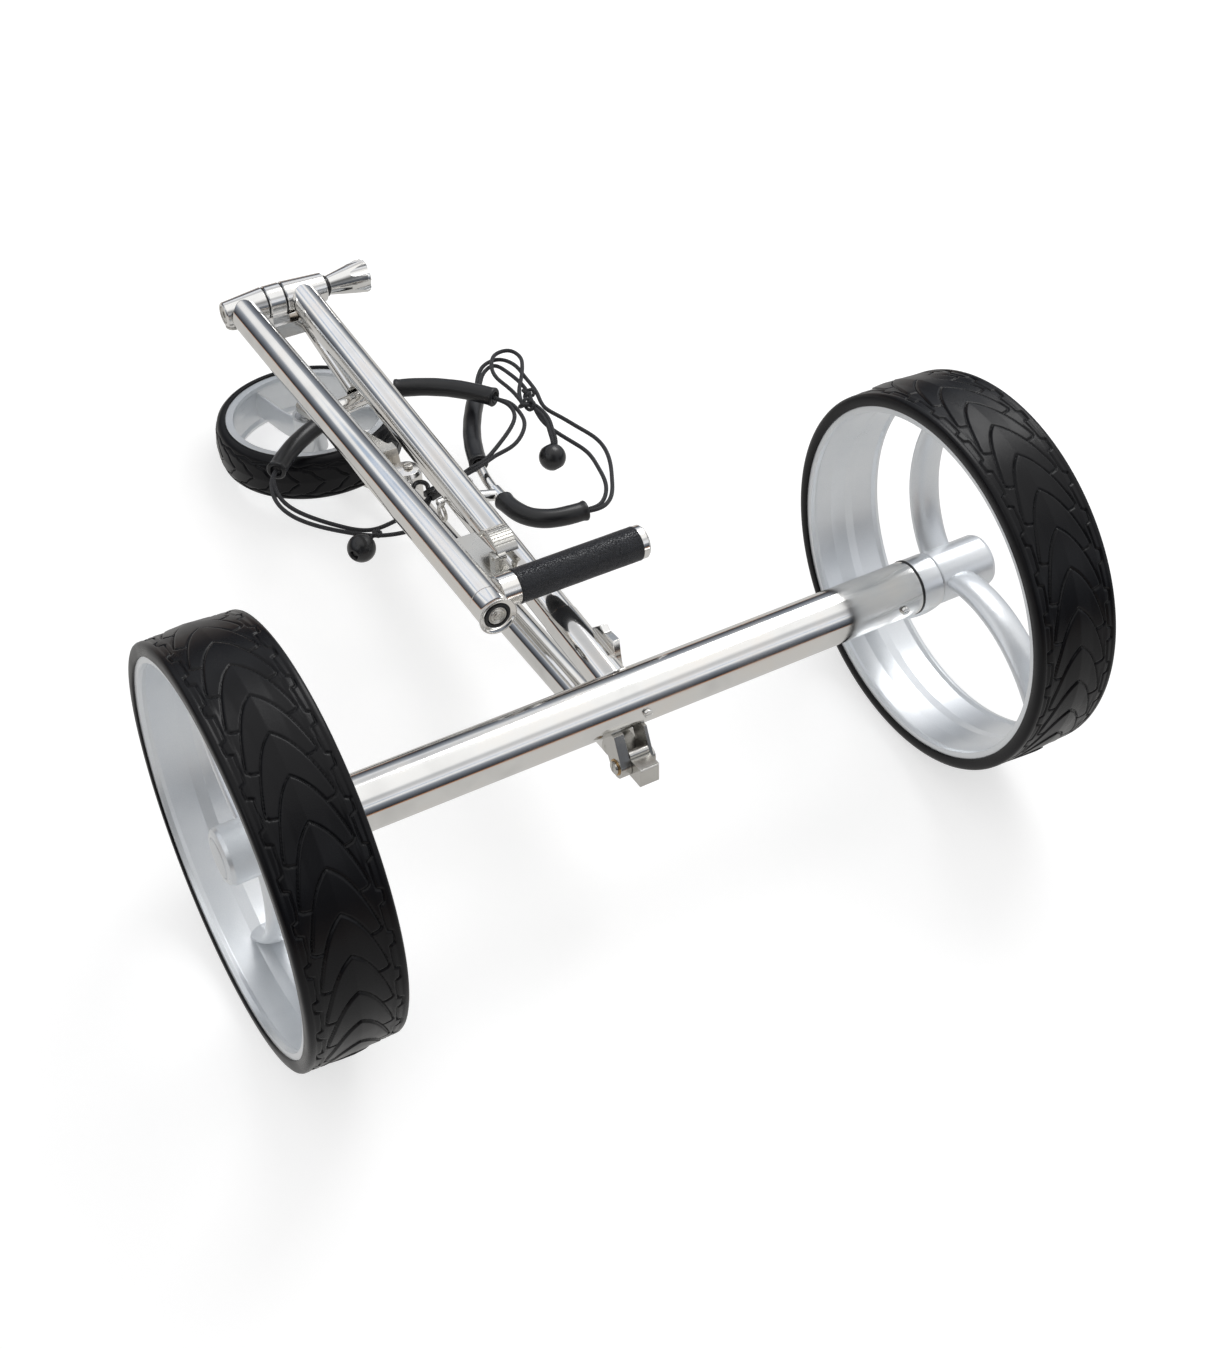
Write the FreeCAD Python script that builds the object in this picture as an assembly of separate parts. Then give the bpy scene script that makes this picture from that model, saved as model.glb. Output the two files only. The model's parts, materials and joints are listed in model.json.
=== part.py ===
import FreeCAD, Part
import math
import os

# Golf push trolley, folded flat for carrying.
#
# Everything is drawn first in the trolley's own folding frame: X along the rear axle, Y from the
# axle towards the folding hinge, Z square to the flat-lying front wheel, origin at the middle of
# the rear axle.  The finished pieces are then tipped about the axle so that the two rear wheels
# and the front wheel's far edge stand on one floor, and moved so that the origin is the floor
# point under the middle of the bounding box.  All lengths are in millimetres.

V = FreeCAD.Vector
X_DIR = V(1, 0, 0)
Y_DIR = V(0, 1, 0)
Z_DIR = V(0, 0, 1)

# rear wheels and axle
rear_radius = 145.0
rear_width = 66.0
rear_rim_radius = 134.0
rear_inner_face = 235.0
axle_radius = 20.0
axle_wall = 2.0
axle_half = 231.0
stub_radius = 6.0
running_gap = 0.05

# front wheel, lying flat
front_radius = 79.0
front_rim_radius = 68.7
front_width = 40.0
front_centre = V(-35.5, 476.0, -37.0)

# tubes
tube_radius = 12.7
tube_wall = 1.5
main_tube_x = -4.85
handle_tube_x = -58.0
arm_x = -9.5
hinge = V(0, 543.0, 53.0)
handle_rise_deg = 1.68
knuckle_radius = 14.0

# front arm pivot under the axle
pivot = V(arm_x, -21.0, -37.0)
bar_half = 7.5
heel_length = 19.5
lug_thickness = 7.6
thin_lug = 2.4
lug_eye = 8.4
pivot_bolt_radius = 4.0

# bag brackets
rod_radius = 4.0
sleeve_radius = 7.5
cord_radius = 2.6
ball_radius = 11.0

# the flat-lying front tyre stands on the outer edge of its lower side wall
front_side_radius = 73.0
edge_y = front_centre.y + front_side_radius
edge_z = front_width / 2 - front_centre.z
stand_tilt = math.asin(rear_radius / math.hypot(edge_y, edge_z)) - math.atan2(edge_z, edge_y)
plumb = V(0, math.sin(stand_tilt), -math.cos(stand_tilt))

nodes = {}


# ---------------------------------------------------------------- building blocks

def rod(start, direction, radius, length):
    return Part.makeCylinder(radius, length, start, direction)


def pipe_ring(start, direction, outer, inner, length):
    return rod(start, direction, outer, length).cut(rod(start, direction, inner, length))


def along_x(x0, x1, y, z, radius):
    return rod(V(min(x0, x1), y, z), X_DIR, radius, abs(x1 - x0))


def ring_x(x0, x1, y, z, outer, inner):
    return along_x(x0, x1, y, z, outer).cut(along_x(x0, x1, y, z, inner))


def turned_x(profile, y=0.0, z=0.0):
    """Solid of revolution about a line along X; profile is a list of (x, radius)."""
    points = [V(x, y, z + r) for x, r in profile]
    face = Part.Face(Part.makePolygon(points + [points[0]]))
    return face.revolve(V(0, y, z), X_DIR, 360)


def turned_z(profile, centre):
    """Solid of revolution about a vertical line; profile is a list of (radius, height)."""
    points = [V(centre.x + r, centre.y, centre.z + h) for r, h in profile]
    face = Part.Face(Part.makePolygon(points + [points[0]]))
    return face.revolve(centre, Z_DIR, 360)


def smooth(points):
    """Smooth curve through the points."""
    curve = Part.BSplineCurve()
    curve.interpolate([V(*p) for p in points])
    return curve


def swept(curve, radius, first=0.0, last=1.0):
    """Round bar along a curve, between two fractions of its length parameter."""
    low = curve.FirstParameter
    span = curve.LastParameter - low
    a = low + span * first
    b = low + span * last
    spine = Part.Wire([curve.toShape(a, b)])
    profile = Part.Wire([Part.makeCircle(radius, curve.value(a), curve.tangent(a)[0])])
    return spine.makePipeShell([profile], True, True)


def slotted_head(centre, direction, radius, height, slot_width, slot_depth):
    """Round screw head with a straight slot; direction points out of the head."""
    head = rod(centre, direction, radius, height)
    edge = radius * 0.25
    head = head.makeFillet(edge, [e for e in head.Edges if abs(e.Length - 2 * math.pi * radius) < 0.01][:1])
    slot = Part.makeBox(4 * radius, slot_width, 2 * slot_depth, V(-2 * radius, -slot_width / 2, height - slot_depth))
    turn = FreeCAD.Rotation(Z_DIR, direction)
    slot.Placement = FreeCAD.Placement(centre, turn)
    return head.cut(slot)


def mirrored(shape):
    return shape.mirror(V(0, 0, 0), X_DIR)


def group(*shapes):
    return Part.makeCompound(list(shapes))


def add(name, shape):
    nodes[name] = shape


# directions and points that several pieces share
main_rise_deg = math.degrees(math.atan2(hinge.z, hinge.y))
main_dir = V(0, math.cos(math.radians(main_rise_deg)), math.sin(math.radians(main_rise_deg)))
main_length = math.hypot(hinge.y, hinge.z)
handle_dir = V(0, -math.cos(math.radians(handle_rise_deg)), -math.sin(math.radians(handle_rise_deg)))


def on_main(distance, x=main_tube_x):
    return V(x, main_dir.y * distance, main_dir.z * distance)


def on_handle(y, x=handle_tube_x):
    return V(x, y, hinge.z - (hinge.y - y) * math.tan(math.radians(handle_rise_deg)))


hinge_room = along_x(-120, 80, hinge.y, hinge.z, knuckle_radius)
axle_room = along_x(-400, 400, 0, 0, axle_radius)


# ---------------------------------------------------------------- rear axle

collar_start = axle_half + 1.5
collar_end = 249.8
plug_length = 26.0
plug_radius = axle_radius - axle_wall - 0.02
stub_inner = 219.0
screw_radius = 1.55
screw_x = 214.0
screw_dir = V(0, -1, 0)
screw_spots = (-screw_x, 0.7, screw_x)

axle = ring_x(-axle_half, axle_half, 0, 0, axle_radius, axle_radius - axle_wall)
for spot in screw_spots:
    axle = axle.cut(rod(V(spot, 0, 0), screw_dir, screw_radius + 0.02, axle_radius + 2))
add("axle_tube", axle)


def end_collar():
    body = turned_x([(collar_start, 0), (collar_start, axle_radius - 0.6), (collar_start + 0.6, axle_radius),
                     (collar_end - 0.6, axle_radius), (collar_end, axle_radius - 0.6), (collar_end, 0)])
    plug = along_x(axle_half - plug_length, collar_start, 0, 0, plug_radius)
    body = body.fuse(plug).removeSplitter()
    body = body.cut(along_x(stub_inner - 0.05, collar_end + 1, 0, 0, stub_radius + 0.02))
    body = body.cut(rod(V(screw_x, 0, 0), screw_dir, screw_radius + 0.02, axle_radius))
    body = body.cut(rod(V(pin_x, 0, 0), plumb, pin_radius + running_gap, axle_radius + 2))
    return body


pin_x = 244.8
pin_radius = 2.5
pin_reach = 25.5
groove_radius = 4.4
pin_start = groove_radius + 0.1

collar = end_collar()
add("axle_end_collars", group(collar, mirrored(collar)))

seal = ring_x(axle_half, collar_start, 0, 0, axle_radius + 0.4, plug_radius + 0.05)
add("axle_seal_rings", group(seal, mirrored(seal)))

stub_shoulder = 276.1
stub_end = 279.6
stub_head_radius = 8.6
stub = along_x(stub_inner, stub_shoulder + 0.1, 0, 0, stub_radius)
stub = stub.fuse(turned_x([(stub_shoulder, 0), (stub_shoulder, stub_head_radius), (stub_end - 1, stub_head_radius),
                           (stub_end, stub_head_radius - 1), (stub_end, 0)]))
groove_half = pin_radius + 0.3
stub = stub.cut(ring_x(pin_x - groove_half, pin_x + groove_half, 0, 0, stub_radius + 1, groove_radius))
stub = stub.removeSplitter()
add("stub_axles", group(stub, mirrored(stub)))


def frame_screw(root, direction, length):
    """Small round-head slotted screw; root is where its shank ends inside the metal."""
    shank = rod(root, direction, screw_radius, length + 0.3)
    head = slotted_head(root + direction * length, direction, 3.2, 2.4, 0.9, 0.9)
    return shank.fuse(head).removeSplitter()


screws = [frame_screw(V(spot, 0, 0) + screw_dir * 17.0, screw_dir, axle_radius + 0.3 - 17.0) for spot in screw_spots]


def release_pin():
    shank = rod(V(pin_x, 0, 0) + plumb * pin_start, plumb, pin_radius, pin_reach - pin_start)
    tip = Part.makeSphere(pin_radius, V(pin_x, 0, 0) + plumb * pin_reach)
    return shank.fuse(tip).removeSplitter()


pin = release_pin()
add("release_pin_right", pin)
add("release_pin_left", mirrored(pin))


# ---------------------------------------------------------------- rear wheels

wheel_mid = rear_inner_face + rear_width / 2
hub_start = 250.2
hub_end = 298.0
spoke_root_deg = 47.0
left_wheel_turn_deg = 34.0


def rear_rim():
    half = rear_width / 2 - 1.5
    x0 = wheel_mid - half
    x1 = wheel_mid + half
    band = turned_x([(x0, 129.5), (x0, rear_rim_radius), (x1, rear_rim_radius), (x1, 129.5),
                     (x1 - 3, 128.5), (x1 - 6, 130.0), (wheel_mid + 8, 130.6), (wheel_mid, 129.0),
                     (wheel_mid - 12, 130.6), (x0 + 6, 130.6), (x0 + 3, 128.8)])
    hub = turned_x([(hub_start, 0), (hub_start, 19.0), (hub_start + 1, 19.7), (hub_end - 4, 19.7),
                    (hub_end - 1.4, 18.6), (hub_end, 16.4), (hub_end, 0)])
    body = band.fuse(hub)
    inside = along_x(x0, x1, 0, 0, 132.0)
    for i in range(3):
        spoke = curved_spoke(i * 120.0 + spoke_root_deg, 15.0, 131.0, wheel_mid - 3.0, 12.4, 6.0, -40.0)
        body = body.fuse(spoke.common(inside))
    body = body.cut(along_x(hub_start - 1, 260.05, 0, 0, 13.0))
    body = body.cut(along_x(260, 268, 0, 0, 10.0))
    body = body.cut(along_x(267.95, 276.05, 0, 0, 13.0))
    body = body.cut(along_x(276, hub_end, 0, 0, 9.2))
    body = body.cut(along_x(hub_end - 2.5, hub_end + 1, 0, 0, 14.0))
    return body.removeSplitter()


def curved_spoke(angle_deg, r0, r1, x, half_wide, half_thick, sweep_deg):
    """Oval bar in the wheel plane that swirls from the hub out to the rim."""
    points = []
    steps = 4
    for i in range(steps + 1):
        f = i / steps
        r = r0 + (r1 - r0) * f
        a = math.radians(angle_deg + sweep_deg * f)
        points.append(V(x, r * math.sin(a), r * math.cos(a)))
    curve = Part.BSplineCurve()
    curve.interpolate(points)
    tangent = curve.tangent(curve.FirstParameter)[0]
    oval = Part.Ellipse(V(0, 0, 0), half_wide, half_thick).toShape()
    frame = FreeCAD.Rotation(X_DIR, tangent.cross(X_DIR), tangent, "ZXY")
    oval.Placement = FreeCAD.Placement(points[0], frame)
    return Part.Wire([curve.toShape()]).makePipeShell([Part.Wire([oval])], True, False)


def rear_tyre():
    x0 = rear_inner_face
    x1 = rear_inner_face + rear_width
    return turned_x([(x0, 134.05), (x0, 141.6), (x0 + 1.6, 143.2), (x0 + 4.0, 143.2), (x0 + 14, 144.2),
                     (wheel_mid, rear_radius), (x1 - 14, 144.2), (x1 - 4.0, 143.2), (x1 - 1.6, 143.2),
                     (x1, 141.6), (x1, 134.05)])


rim = rear_rim()
tyre = rear_tyre()
bearing = ring_x(252.0, 259.98, 0, 0, 12.98, stub_radius + running_gap)
outer_bearing = ring_x(268.0, 276.0, 0, 0, 12.98, stub_radius + running_gap)
cap = turned_x([(hub_end - 2.4, 0), (hub_end - 2.4, 13.9), (hub_end - 0.4, 13.9), (hub_end + 0.5, 12.6),
                (hub_end + 0.8, 0)])
add("rear_rim_right", rim)
left_rim = mirrored(rim)
left_rim.rotate(V(0, 0, 0), X_DIR, -left_wheel_turn_deg)
add("rear_rim_left", left_rim)
add("rear_tyre_right", tyre)
add("rear_tyre_left", mirrored(tyre))
add("rear_bearings_right", group(bearing, outer_bearing))
add("rear_bearings_left", group(mirrored(bearing), mirrored(outer_bearing)))
add("rear_hub_cap_right", cap)
add("rear_hub_cap_left", mirrored(cap))


# ---------------------------------------------------------------- main tube and its socket

socket_length = 88.0
socket_radius = 13.2
socket = rod(on_main(10), main_dir, socket_radius, socket_length - 10)
socket = socket.cut(rod(on_main(60), main_dir, tube_radius + 0.02, socket_length))
socket = socket.cut(axle_room)
wing_x = (6.5, 11.5)
wing_outline = [(72, 6), (52, 23), (47, 20), (35, 21), (33, 9), (31, 1), (50, -2)]
wing_points = [V(wing_x[0], y, z) for y, z in wing_outline]
wing_face = Part.Face(Part.makePolygon(wing_points + [wing_points[0]]))
wedge = wing_face.extrude(V(wing_x[1] - wing_x[0], 0, 0))
wedge = wedge.cut(rod(on_main(0), main_dir, socket_radius, 120))
add("main_tube_socket", socket.fuse(wedge).removeSplitter())

tube = pipe_ring(on_main(60.1), main_dir, tube_radius, tube_radius - tube_wall, main_length - 60.1)
tube = tube.cut(hinge_room)


# ---------------------------------------------------------------- folding hinge

handle_knuckle_x = (-73.6, -37.2)
bracket_knuckle_x = (-36.2, -21.4)
frame_knuckle_x = (-20.4, 16.7)
bolt_radius = 5.0


def knuckle(x0, x1, r0, r1, bore):
    chamfer = 1.0
    body = turned_x([(x0, 0), (x0, r0 - chamfer), (x0 + chamfer, r0), (x1 - chamfer, r1), (x1, r1 - chamfer), (x1, 0)],
                    hinge.y, hinge.z)
    return body.cut(along_x(x0 - 1, x1 + 1, hinge.y, hinge.z, bore))


foot_x = -66.0
foot_y = hinge.y
foot_radius = 7.0
foot_end = 39.4
handle_knuckle = knuckle(handle_knuckle_x[0], handle_knuckle_x[1], 10.2, knuckle_radius, bolt_radius + running_gap)
foot = rod(V(foot_x, foot_y, foot_end + 3.2), Z_DIR, foot_radius, 8)
handle_knuckle = handle_knuckle.fuse(foot.cut(along_x(-120, 0, hinge.y, hinge.z, 8.0))).removeSplitter()
handle_knuckle = handle_knuckle.cut(rod(V(foot_x, foot_y, 30), Z_DIR, 2.02, 16.6))
handle_knuckle = handle_knuckle.cut(rod(V(foot_x, foot_y, foot_end - 2), Z_DIR, foot_radius + 0.4, 5.2))
handle_knuckle = handle_knuckle.cut(along_x(-80, handle_knuckle_x[0] + 3.6, hinge.y, hinge.z, 7.4))
add("handle_knuckle", handle_knuckle)

binder = rod(V(foot_x, foot_y, foot_end + 2.0), Z_DIR, 2.0, 5.0)
binder = binder.fuse(slotted_head(V(foot_x, foot_y, foot_end + 2.7), V(0, 0, -1), foot_radius, 2.7, 1.4, 0.8))
add("knuckle_binder_screw", binder.removeSplitter())

frame_knuckle = knuckle(frame_knuckle_x[0], frame_knuckle_x[1], knuckle_radius, 12.2, bolt_radius + 0.02)
add("frame_knuckle", frame_knuckle)

stay_top = V(-6.0, 527.0, 31.0)
stay_end = V(-7.0, 437.0, 13.0)
stay_dir = (stay_end - stay_top).normalize()
bracket_knuckle = knuckle(bracket_knuckle_x[0], bracket_knuckle_x[1], knuckle_radius, knuckle_radius,
                          bolt_radius + running_gap)
lug_drop = Part.makeBox(14.8, 13, 20, V(bracket_knuckle_x[0], 529, 25.0))
lug_side = Part.makeBox(35.0, 14, 12.8, V(bracket_knuckle_x[0], 527, 25.0))
lug_side = lug_side.makeFillet(4.0, [e for e in lug_side.Edges if e.CenterOfMass.x > -2 and abs(e.Length - 12.8) < 0.01])
bracket_knuckle = bracket_knuckle.fuse(lug_drop.cut(along_x(-60, 0, hinge.y, hinge.z, 12.0)))
bracket_knuckle = bracket_knuckle.fuse(lug_side)
bracket_knuckle = bracket_knuckle.cut(along_x(-21.4, 40, hinge.y, hinge.z, knuckle_radius + 0.6))
bracket_knuckle = bracket_knuckle.cut(along_x(-60, 0, hinge.y, hinge.z, bolt_radius + running_gap))
bracket_knuckle = bracket_knuckle.cut(rod(stay_top - stay_dir * 3.05, stay_dir, 6.37, 60)).removeSplitter()
add("bracket_knuckle", bracket_knuckle)

washer_a = ring_x(-37.15, -36.25, hinge.y, hinge.z, knuckle_radius - 0.8, bolt_radius + running_gap)
washer_b = ring_x(-21.35, -20.45, hinge.y, hinge.z, knuckle_radius - 0.8, bolt_radius + running_gap)
add("hinge_friction_washers", group(washer_a, washer_b))

bolt_head = handle_knuckle_x[0] + 0.5
bolt = along_x(bolt_head + 1, 43.0, hinge.y, hinge.z, bolt_radius)
bolt = bolt.fuse(turned_x([(bolt_head, 0), (bolt_head, 6.4), (bolt_head + 0.8, 7.3), (bolt_head + 3.0, 7.3),
                           (bolt_head + 3.0, 0)], hinge.y, hinge.z))
bolt = bolt.cut(along_x(bolt_head - 1, bolt_head + 1.5, hinge.y, hinge.z, 3.0)).removeSplitter()
add("hinge_bolt", bolt)

thrust = ring_x(16.9, 19.4, hinge.y, hinge.z, 9.0, bolt_radius + running_gap)
add("clamp_thrust_washer", thrust)

knob_start = 19.5
knob_end = 56.0


def clamp_knob():
    """Cone that widens outwards, with long scooped flutes for the fingers."""
    body = turned_x([(knob_start, 0), (knob_start, 7.0), (knob_start + 1.5, 8.2), (knob_end - 3, 14.6),
                     (knob_end - 0.8, 14.2), (knob_end, 13.0), (knob_end, 0)], hinge.y, hinge.z)
    lobes = 6
    for i in range(lobes):
        a = math.radians(i * 360.0 / lobes + 18)
        near = V(knob_start + 10, hinge.y + 19.5 * math.sin(a), hinge.z + 19.5 * math.cos(a))
        far = V(knob_end + 2, hinge.y + 19.0 * math.sin(a), hinge.z + 19.0 * math.cos(a))
        body = body.cut(rod(near, (far - near).normalize(), 7.6, 40))
    body = body.cut(along_x(knob_start - 1, 45, hinge.y, hinge.z, 6.4))
    return body


add("clamp_knob", clamp_knob())
insert = ring_x(knob_start + 0.05, 44.9, hinge.y, hinge.z, 6.38, bolt_radius + running_gap)
add("knob_thread_insert", insert)


# ---------------------------------------------------------------- handle

handle_end_y = 84.0
handle_start = on_handle(handle_end_y)
handle_tube = pipe_ring(handle_start, handle_dir * -1, tube_radius, tube_radius - tube_wall, hinge.y - handle_end_y)
handle_tube = handle_tube.cut(hinge_room)
handle_tube = handle_tube.cut(along_x(-130, 0, hinge.y, hinge.z, knuckle_radius))
add("handle_tube", handle_tube)

bezel = pipe_ring(handle_start, handle_dir, 13.0, 9.6, 5.0)
bezel = bezel.fuse(pipe_ring(handle_start - handle_dir * 14, handle_dir, 11.18, 7.16, 14.0))
bezel = bezel.fuse(pipe_ring(handle_start, handle_dir, 10.5, 7.16, 2.4)).removeSplitter()
add("handle_end_bezel", bezel)
add("handle_end_seal", pipe_ring(handle_start + handle_dir * 2.45, handle_dir, 9.55, 7.6, 1.9))
button = rod(handle_start - handle_dir * 6, handle_dir, 7.1, 10.0)
button = button.fuse(rod(handle_start + handle_dir * 4, handle_dir, 4.4, 1.0)).removeSplitter()
add("handle_button", button)

grip_y = 100.0
grip_z = on_handle(grip_y).z + 1.6
grip_start = -34.0
grip_end = 63.4
grip_core = along_x(-47.0, grip_start, grip_y, grip_z, 12.0)
grip_core = grip_core.fuse(along_x(grip_start, grip_end, grip_y, grip_z, 10.5))
grip_core = grip_core.cut(rod(on_handle(60), handle_dir * -1, tube_radius, 90)).removeSplitter()
add("grip_stub", grip_core)
add("grip_sleeve", ring_x(grip_start + 0.05, grip_end - 0.05, grip_y, grip_z, 12.8, 10.52))
end_ring = turned_x([(grip_end, 0), (grip_end, 12.4), (grip_end + 4.4, 12.4), (grip_end + 5.8, 11.2),
                     (grip_end + 6.4, 9.0), (grip_end + 6.4, 0)], grip_y, grip_z)
add("grip_end_cap", end_ring)


# ---------------------------------------------------------------- front arm pivot under the axle

gap_half = bar_half + 0.3
lug_x = (arm_x - gap_half - lug_thickness, arm_x + gap_half)


def axle_lug(x0, thickness):
    eye = along_x(x0, x0 + thickness, pivot.y, pivot.z, lug_eye)
    outline = [V(x0, pivot.y - 7.3, pivot.z + 4.2), V(x0, -19, -12), V(x0, 2, -13), V(x0, pivot.y + 7.9, pivot.z - 2.8)]
    plate = Part.Face(Part.makePolygon(outline + [outline[0]])).extrude(V(thickness, 0, 0))
    lug = eye.fuse(plate).cut(axle_room)
    return lug.cut(along_x(x0 - 1, x0 + thickness + 1, pivot.y, pivot.z, 6.0)).removeSplitter()


add("axle_lugs", group(axle_lug(lug_x[0], lug_thickness), axle_lug(lug_x[1], thin_lug)))
bush_a = ring_x(lug_x[0] - 0.5, lug_x[0] + lug_thickness, pivot.y, pivot.z, 5.98, pivot_bolt_radius + 0.02)
bush_b = ring_x(lug_x[1], lug_x[1] + thin_lug + 0.1, pivot.y, pivot.z, 5.98, pivot_bolt_radius + 0.02)
add("pivot_bushes", group(bush_a, bush_b))

bolt_left = lug_x[0] - 0.55
bolt_right = lug_x[1] + thin_lug + 0.1
pivot_bolt = along_x(bolt_left, bolt_right + 3.4, pivot.y, pivot.z, pivot_bolt_radius)
pivot_bolt = pivot_bolt.fuse(slotted_head(V(bolt_left, pivot.y, pivot.z), V(-1, 0, 0), 4.8, 2.0, 1.2, 0.9))
add("arm_pivot_bolt", pivot_bolt.removeSplitter())
nut = ring_x(bolt_right + 0.05, bolt_right + 2.6, pivot.y, pivot.z, 5.6, pivot_bolt_radius + 0.02)
add("arm_pivot_nut", nut)

arm_start = 3.0
arm_end = 340.0
arm_inner = tube_radius - tube_wall
bar = Part.makeBox(2 * bar_half, arm_start - pivot.y + heel_length, 2 * bar_half,
                   V(arm_x - bar_half, pivot.y - heel_length, pivot.z - bar_half))
bar = bar.makeChamfer(0.8, [e for e in bar.Edges if abs(e.CenterOfMass.y - (pivot.y - heel_length)) < 0.01])
bar = bar.fuse(rod(V(arm_x, arm_start - 3, pivot.z), Y_DIR, tube_radius, 3.0))
bar = bar.fuse(rod(V(arm_x, arm_start, pivot.z), Y_DIR, arm_inner - 0.02, 36.0))
bar = bar.cut(along_x(-40, 30, pivot.y, pivot.z, pivot_bolt_radius + running_gap))
detent_y = -24.0
detent_z = pivot.z + bar_half + 1.5
bar = bar.cut(along_x(-40, 30, detent_y, detent_z, 3.0)).removeSplitter()
add("arm_pivot_bar", bar)
detent = along_x(arm_x - bar_half + 0.1, arm_x + bar_half - 0.1, detent_y, detent_z, 2.98)
add("arm_detent_pin", detent)
add("front_arm_tube", pipe_ring(V(arm_x, arm_start + 0.02, pivot.z), Y_DIR, tube_radius, arm_inner, arm_end - arm_start))

spigot_radius = 8.0
head_start = arm_end + 0.1
head_end = 376.0
head = rod(V(arm_x, head_start, pivot.z), Y_DIR, 13.6, head_end - head_start)
head = head.fuse(rod(V(arm_x, arm_end - 30, pivot.z), Y_DIR, arm_inner - 0.02, 31))
boss_x = -1.0
boss_y = 357.0
boss_top = -18.5
boss = turned_z([(0, -12), (12.5, -12), (12.5, 9.5), (10.5, 12.5), (0, 13.5)], V(boss_x, boss_y, boss_top - 13.5))
head = head.fuse(boss)
head = head.cut(rod(V(arm_x, 350, pivot.z), Y_DIR, spigot_radius + running_gap, 40))
head = head.cut(rod(V(boss_x + 2, boss_y, boss_top - 6), Z_DIR, 2.02, 20)).removeSplitter()
add("front_arm_head", head)
head_screw = rod(V(boss_x + 2, boss_y, boss_top - 5.9), Z_DIR, 2.0, 6.6)
head_screw = head_screw.fuse(slotted_head(V(boss_x + 2, boss_y, boss_top + 0.1), Z_DIR, 4.0, 2.4, 1.0, 0.9))
add("arm_head_screw", head_screw.removeSplitter())


# ---------------------------------------------------------------- front fork and wheel

blade_gap = front_width / 2 + 1.5
blade_thick = 4.5
crown_y = (376.4, 386.0)


def fork_blade(z0, boss_z, left, right):
    """Flat arm from the crown to the wheel axle, with a boss that spaces the wheel."""
    wheel_end = Part.makeCylinder(9.0, blade_thick, V(front_centre.x, front_centre.y, z0))
    outline = [V(left, crown_y[0], z0), V(right, crown_y[0], z0), V(right - 5, crown_y[1] + 3, z0),
               V(front_centre.x + 8.6, front_centre.y - 2.5, z0), V(front_centre.x - 8.6, front_centre.y - 2.5, z0),
               V(left - 2, crown_y[1] + 6, z0)]
    plate = Part.Face(Part.makePolygon(outline + [outline[0]])).extrude(V(0, 0, blade_thick))
    boss = Part.makeCylinder(6.5, boss_length + 0.5, V(front_centre.x, front_centre.y, boss_z))
    blade = plate.fuse(wheel_end).fuse(boss)
    return blade.cut(Part.makeCylinder(4.02, 40, V(front_centre.x, front_centre.y, z0 - 15)))


hub_half = 16.0
boss_length = blade_gap - hub_half - 0.1
blade_low = front_centre.z - blade_gap - blade_thick
blade_high = front_centre.z + blade_gap
crown_low = (-7.5, 8.0)
crown_high = (-23.0, 1.0)
crown_outline = [V(crown_high[0], crown_y[0], blade_high + blade_thick), V(crown_high[1], crown_y[0], blade_high + blade_thick),
                 V(4.5, crown_y[0], pivot.z), V(crown_low[1], crown_y[0], blade_low), V(crown_low[0], crown_y[0], blade_low),
                 V(-19, crown_y[0], pivot.z)]
crown = Part.Face(Part.makePolygon(crown_outline + [crown_outline[0]])).extrude(V(0, crown_y[1] - crown_y[0], 0))
crown = crown.fuse(rod(V(arm_x, 352, pivot.z), Y_DIR, spigot_radius, 28))
fork = crown.fuse(fork_blade(blade_low, blade_low + blade_thick - 0.5, crown_low[0], crown_low[1]))
fork = fork.fuse(fork_blade(blade_high, blade_high - boss_length, crown_high[0], crown_high[1])).removeSplitter()
add("front_fork", fork)

top_z = blade_high + blade_thick
axle_bolt = Part.makeCylinder(4.0, top_z - blade_low + 0.1, V(front_centre.x, front_centre.y, blade_low))
axle_bolt = axle_bolt.fuse(slotted_head(V(front_centre.x, front_centre.y, top_z + 0.1), Z_DIR, 6.2, 3.2, 1.3, 1.2))
add("front_axle_bolt", axle_bolt.removeSplitter())


def front_rim():
    h = front_width / 2 - 1.2
    band = turned_z([(62.5, -h), (68.7, -h), (68.7, h), (62.5, h), (61.8, h - 3), (63.6, h - 6),
                     (64.4, 0), (63.6, 6 - h), (61.8, 3 - h)], front_centre)
    hub = turned_z([(0, -hub_half), (13.5, -hub_half), (12.5, 0), (13.5, hub_half), (0, hub_half)], front_centre)
    body = band.fuse(hub)
    for i in range(3):
        body = body.fuse(front_spoke(i * 120.0 + 131.0))
    body = body.cut(turned_z([(0, -hub_half - 1), (11.0, -hub_half - 1), (11.0, -hub_half + 7), (7, -hub_half + 7),
                              (7, hub_half - 7), (11.0, hub_half - 7), (11.0, hub_half + 1), (0, hub_half + 1)],
                             front_centre))
    return body.removeSplitter()


def front_spoke(angle_deg):
    points = []
    steps = 4
    for i in range(steps + 1):
        f = i / steps
        r = 12.0 + 52.5 * f
        a = math.radians(angle_deg - 21.0 * (1 - (1 - f) ** 2))
        points.append(front_centre + V(r * math.cos(a), r * math.sin(a), 0))
    curve = Part.BSplineCurve()
    curve.interpolate(points)
    tangent = curve.tangent(curve.FirstParameter)[0]
    oval = Part.Ellipse(V(0, 0, 0), 12.0, 2.9).toShape()
    frame = FreeCAD.Rotation(Z_DIR, tangent.cross(Z_DIR), tangent, "ZXY")
    oval.Placement = FreeCAD.Placement(points[0], frame)
    return Part.Wire([curve.toShape()]).makePipeShell([Part.Wire([oval])], True, False)


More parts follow.
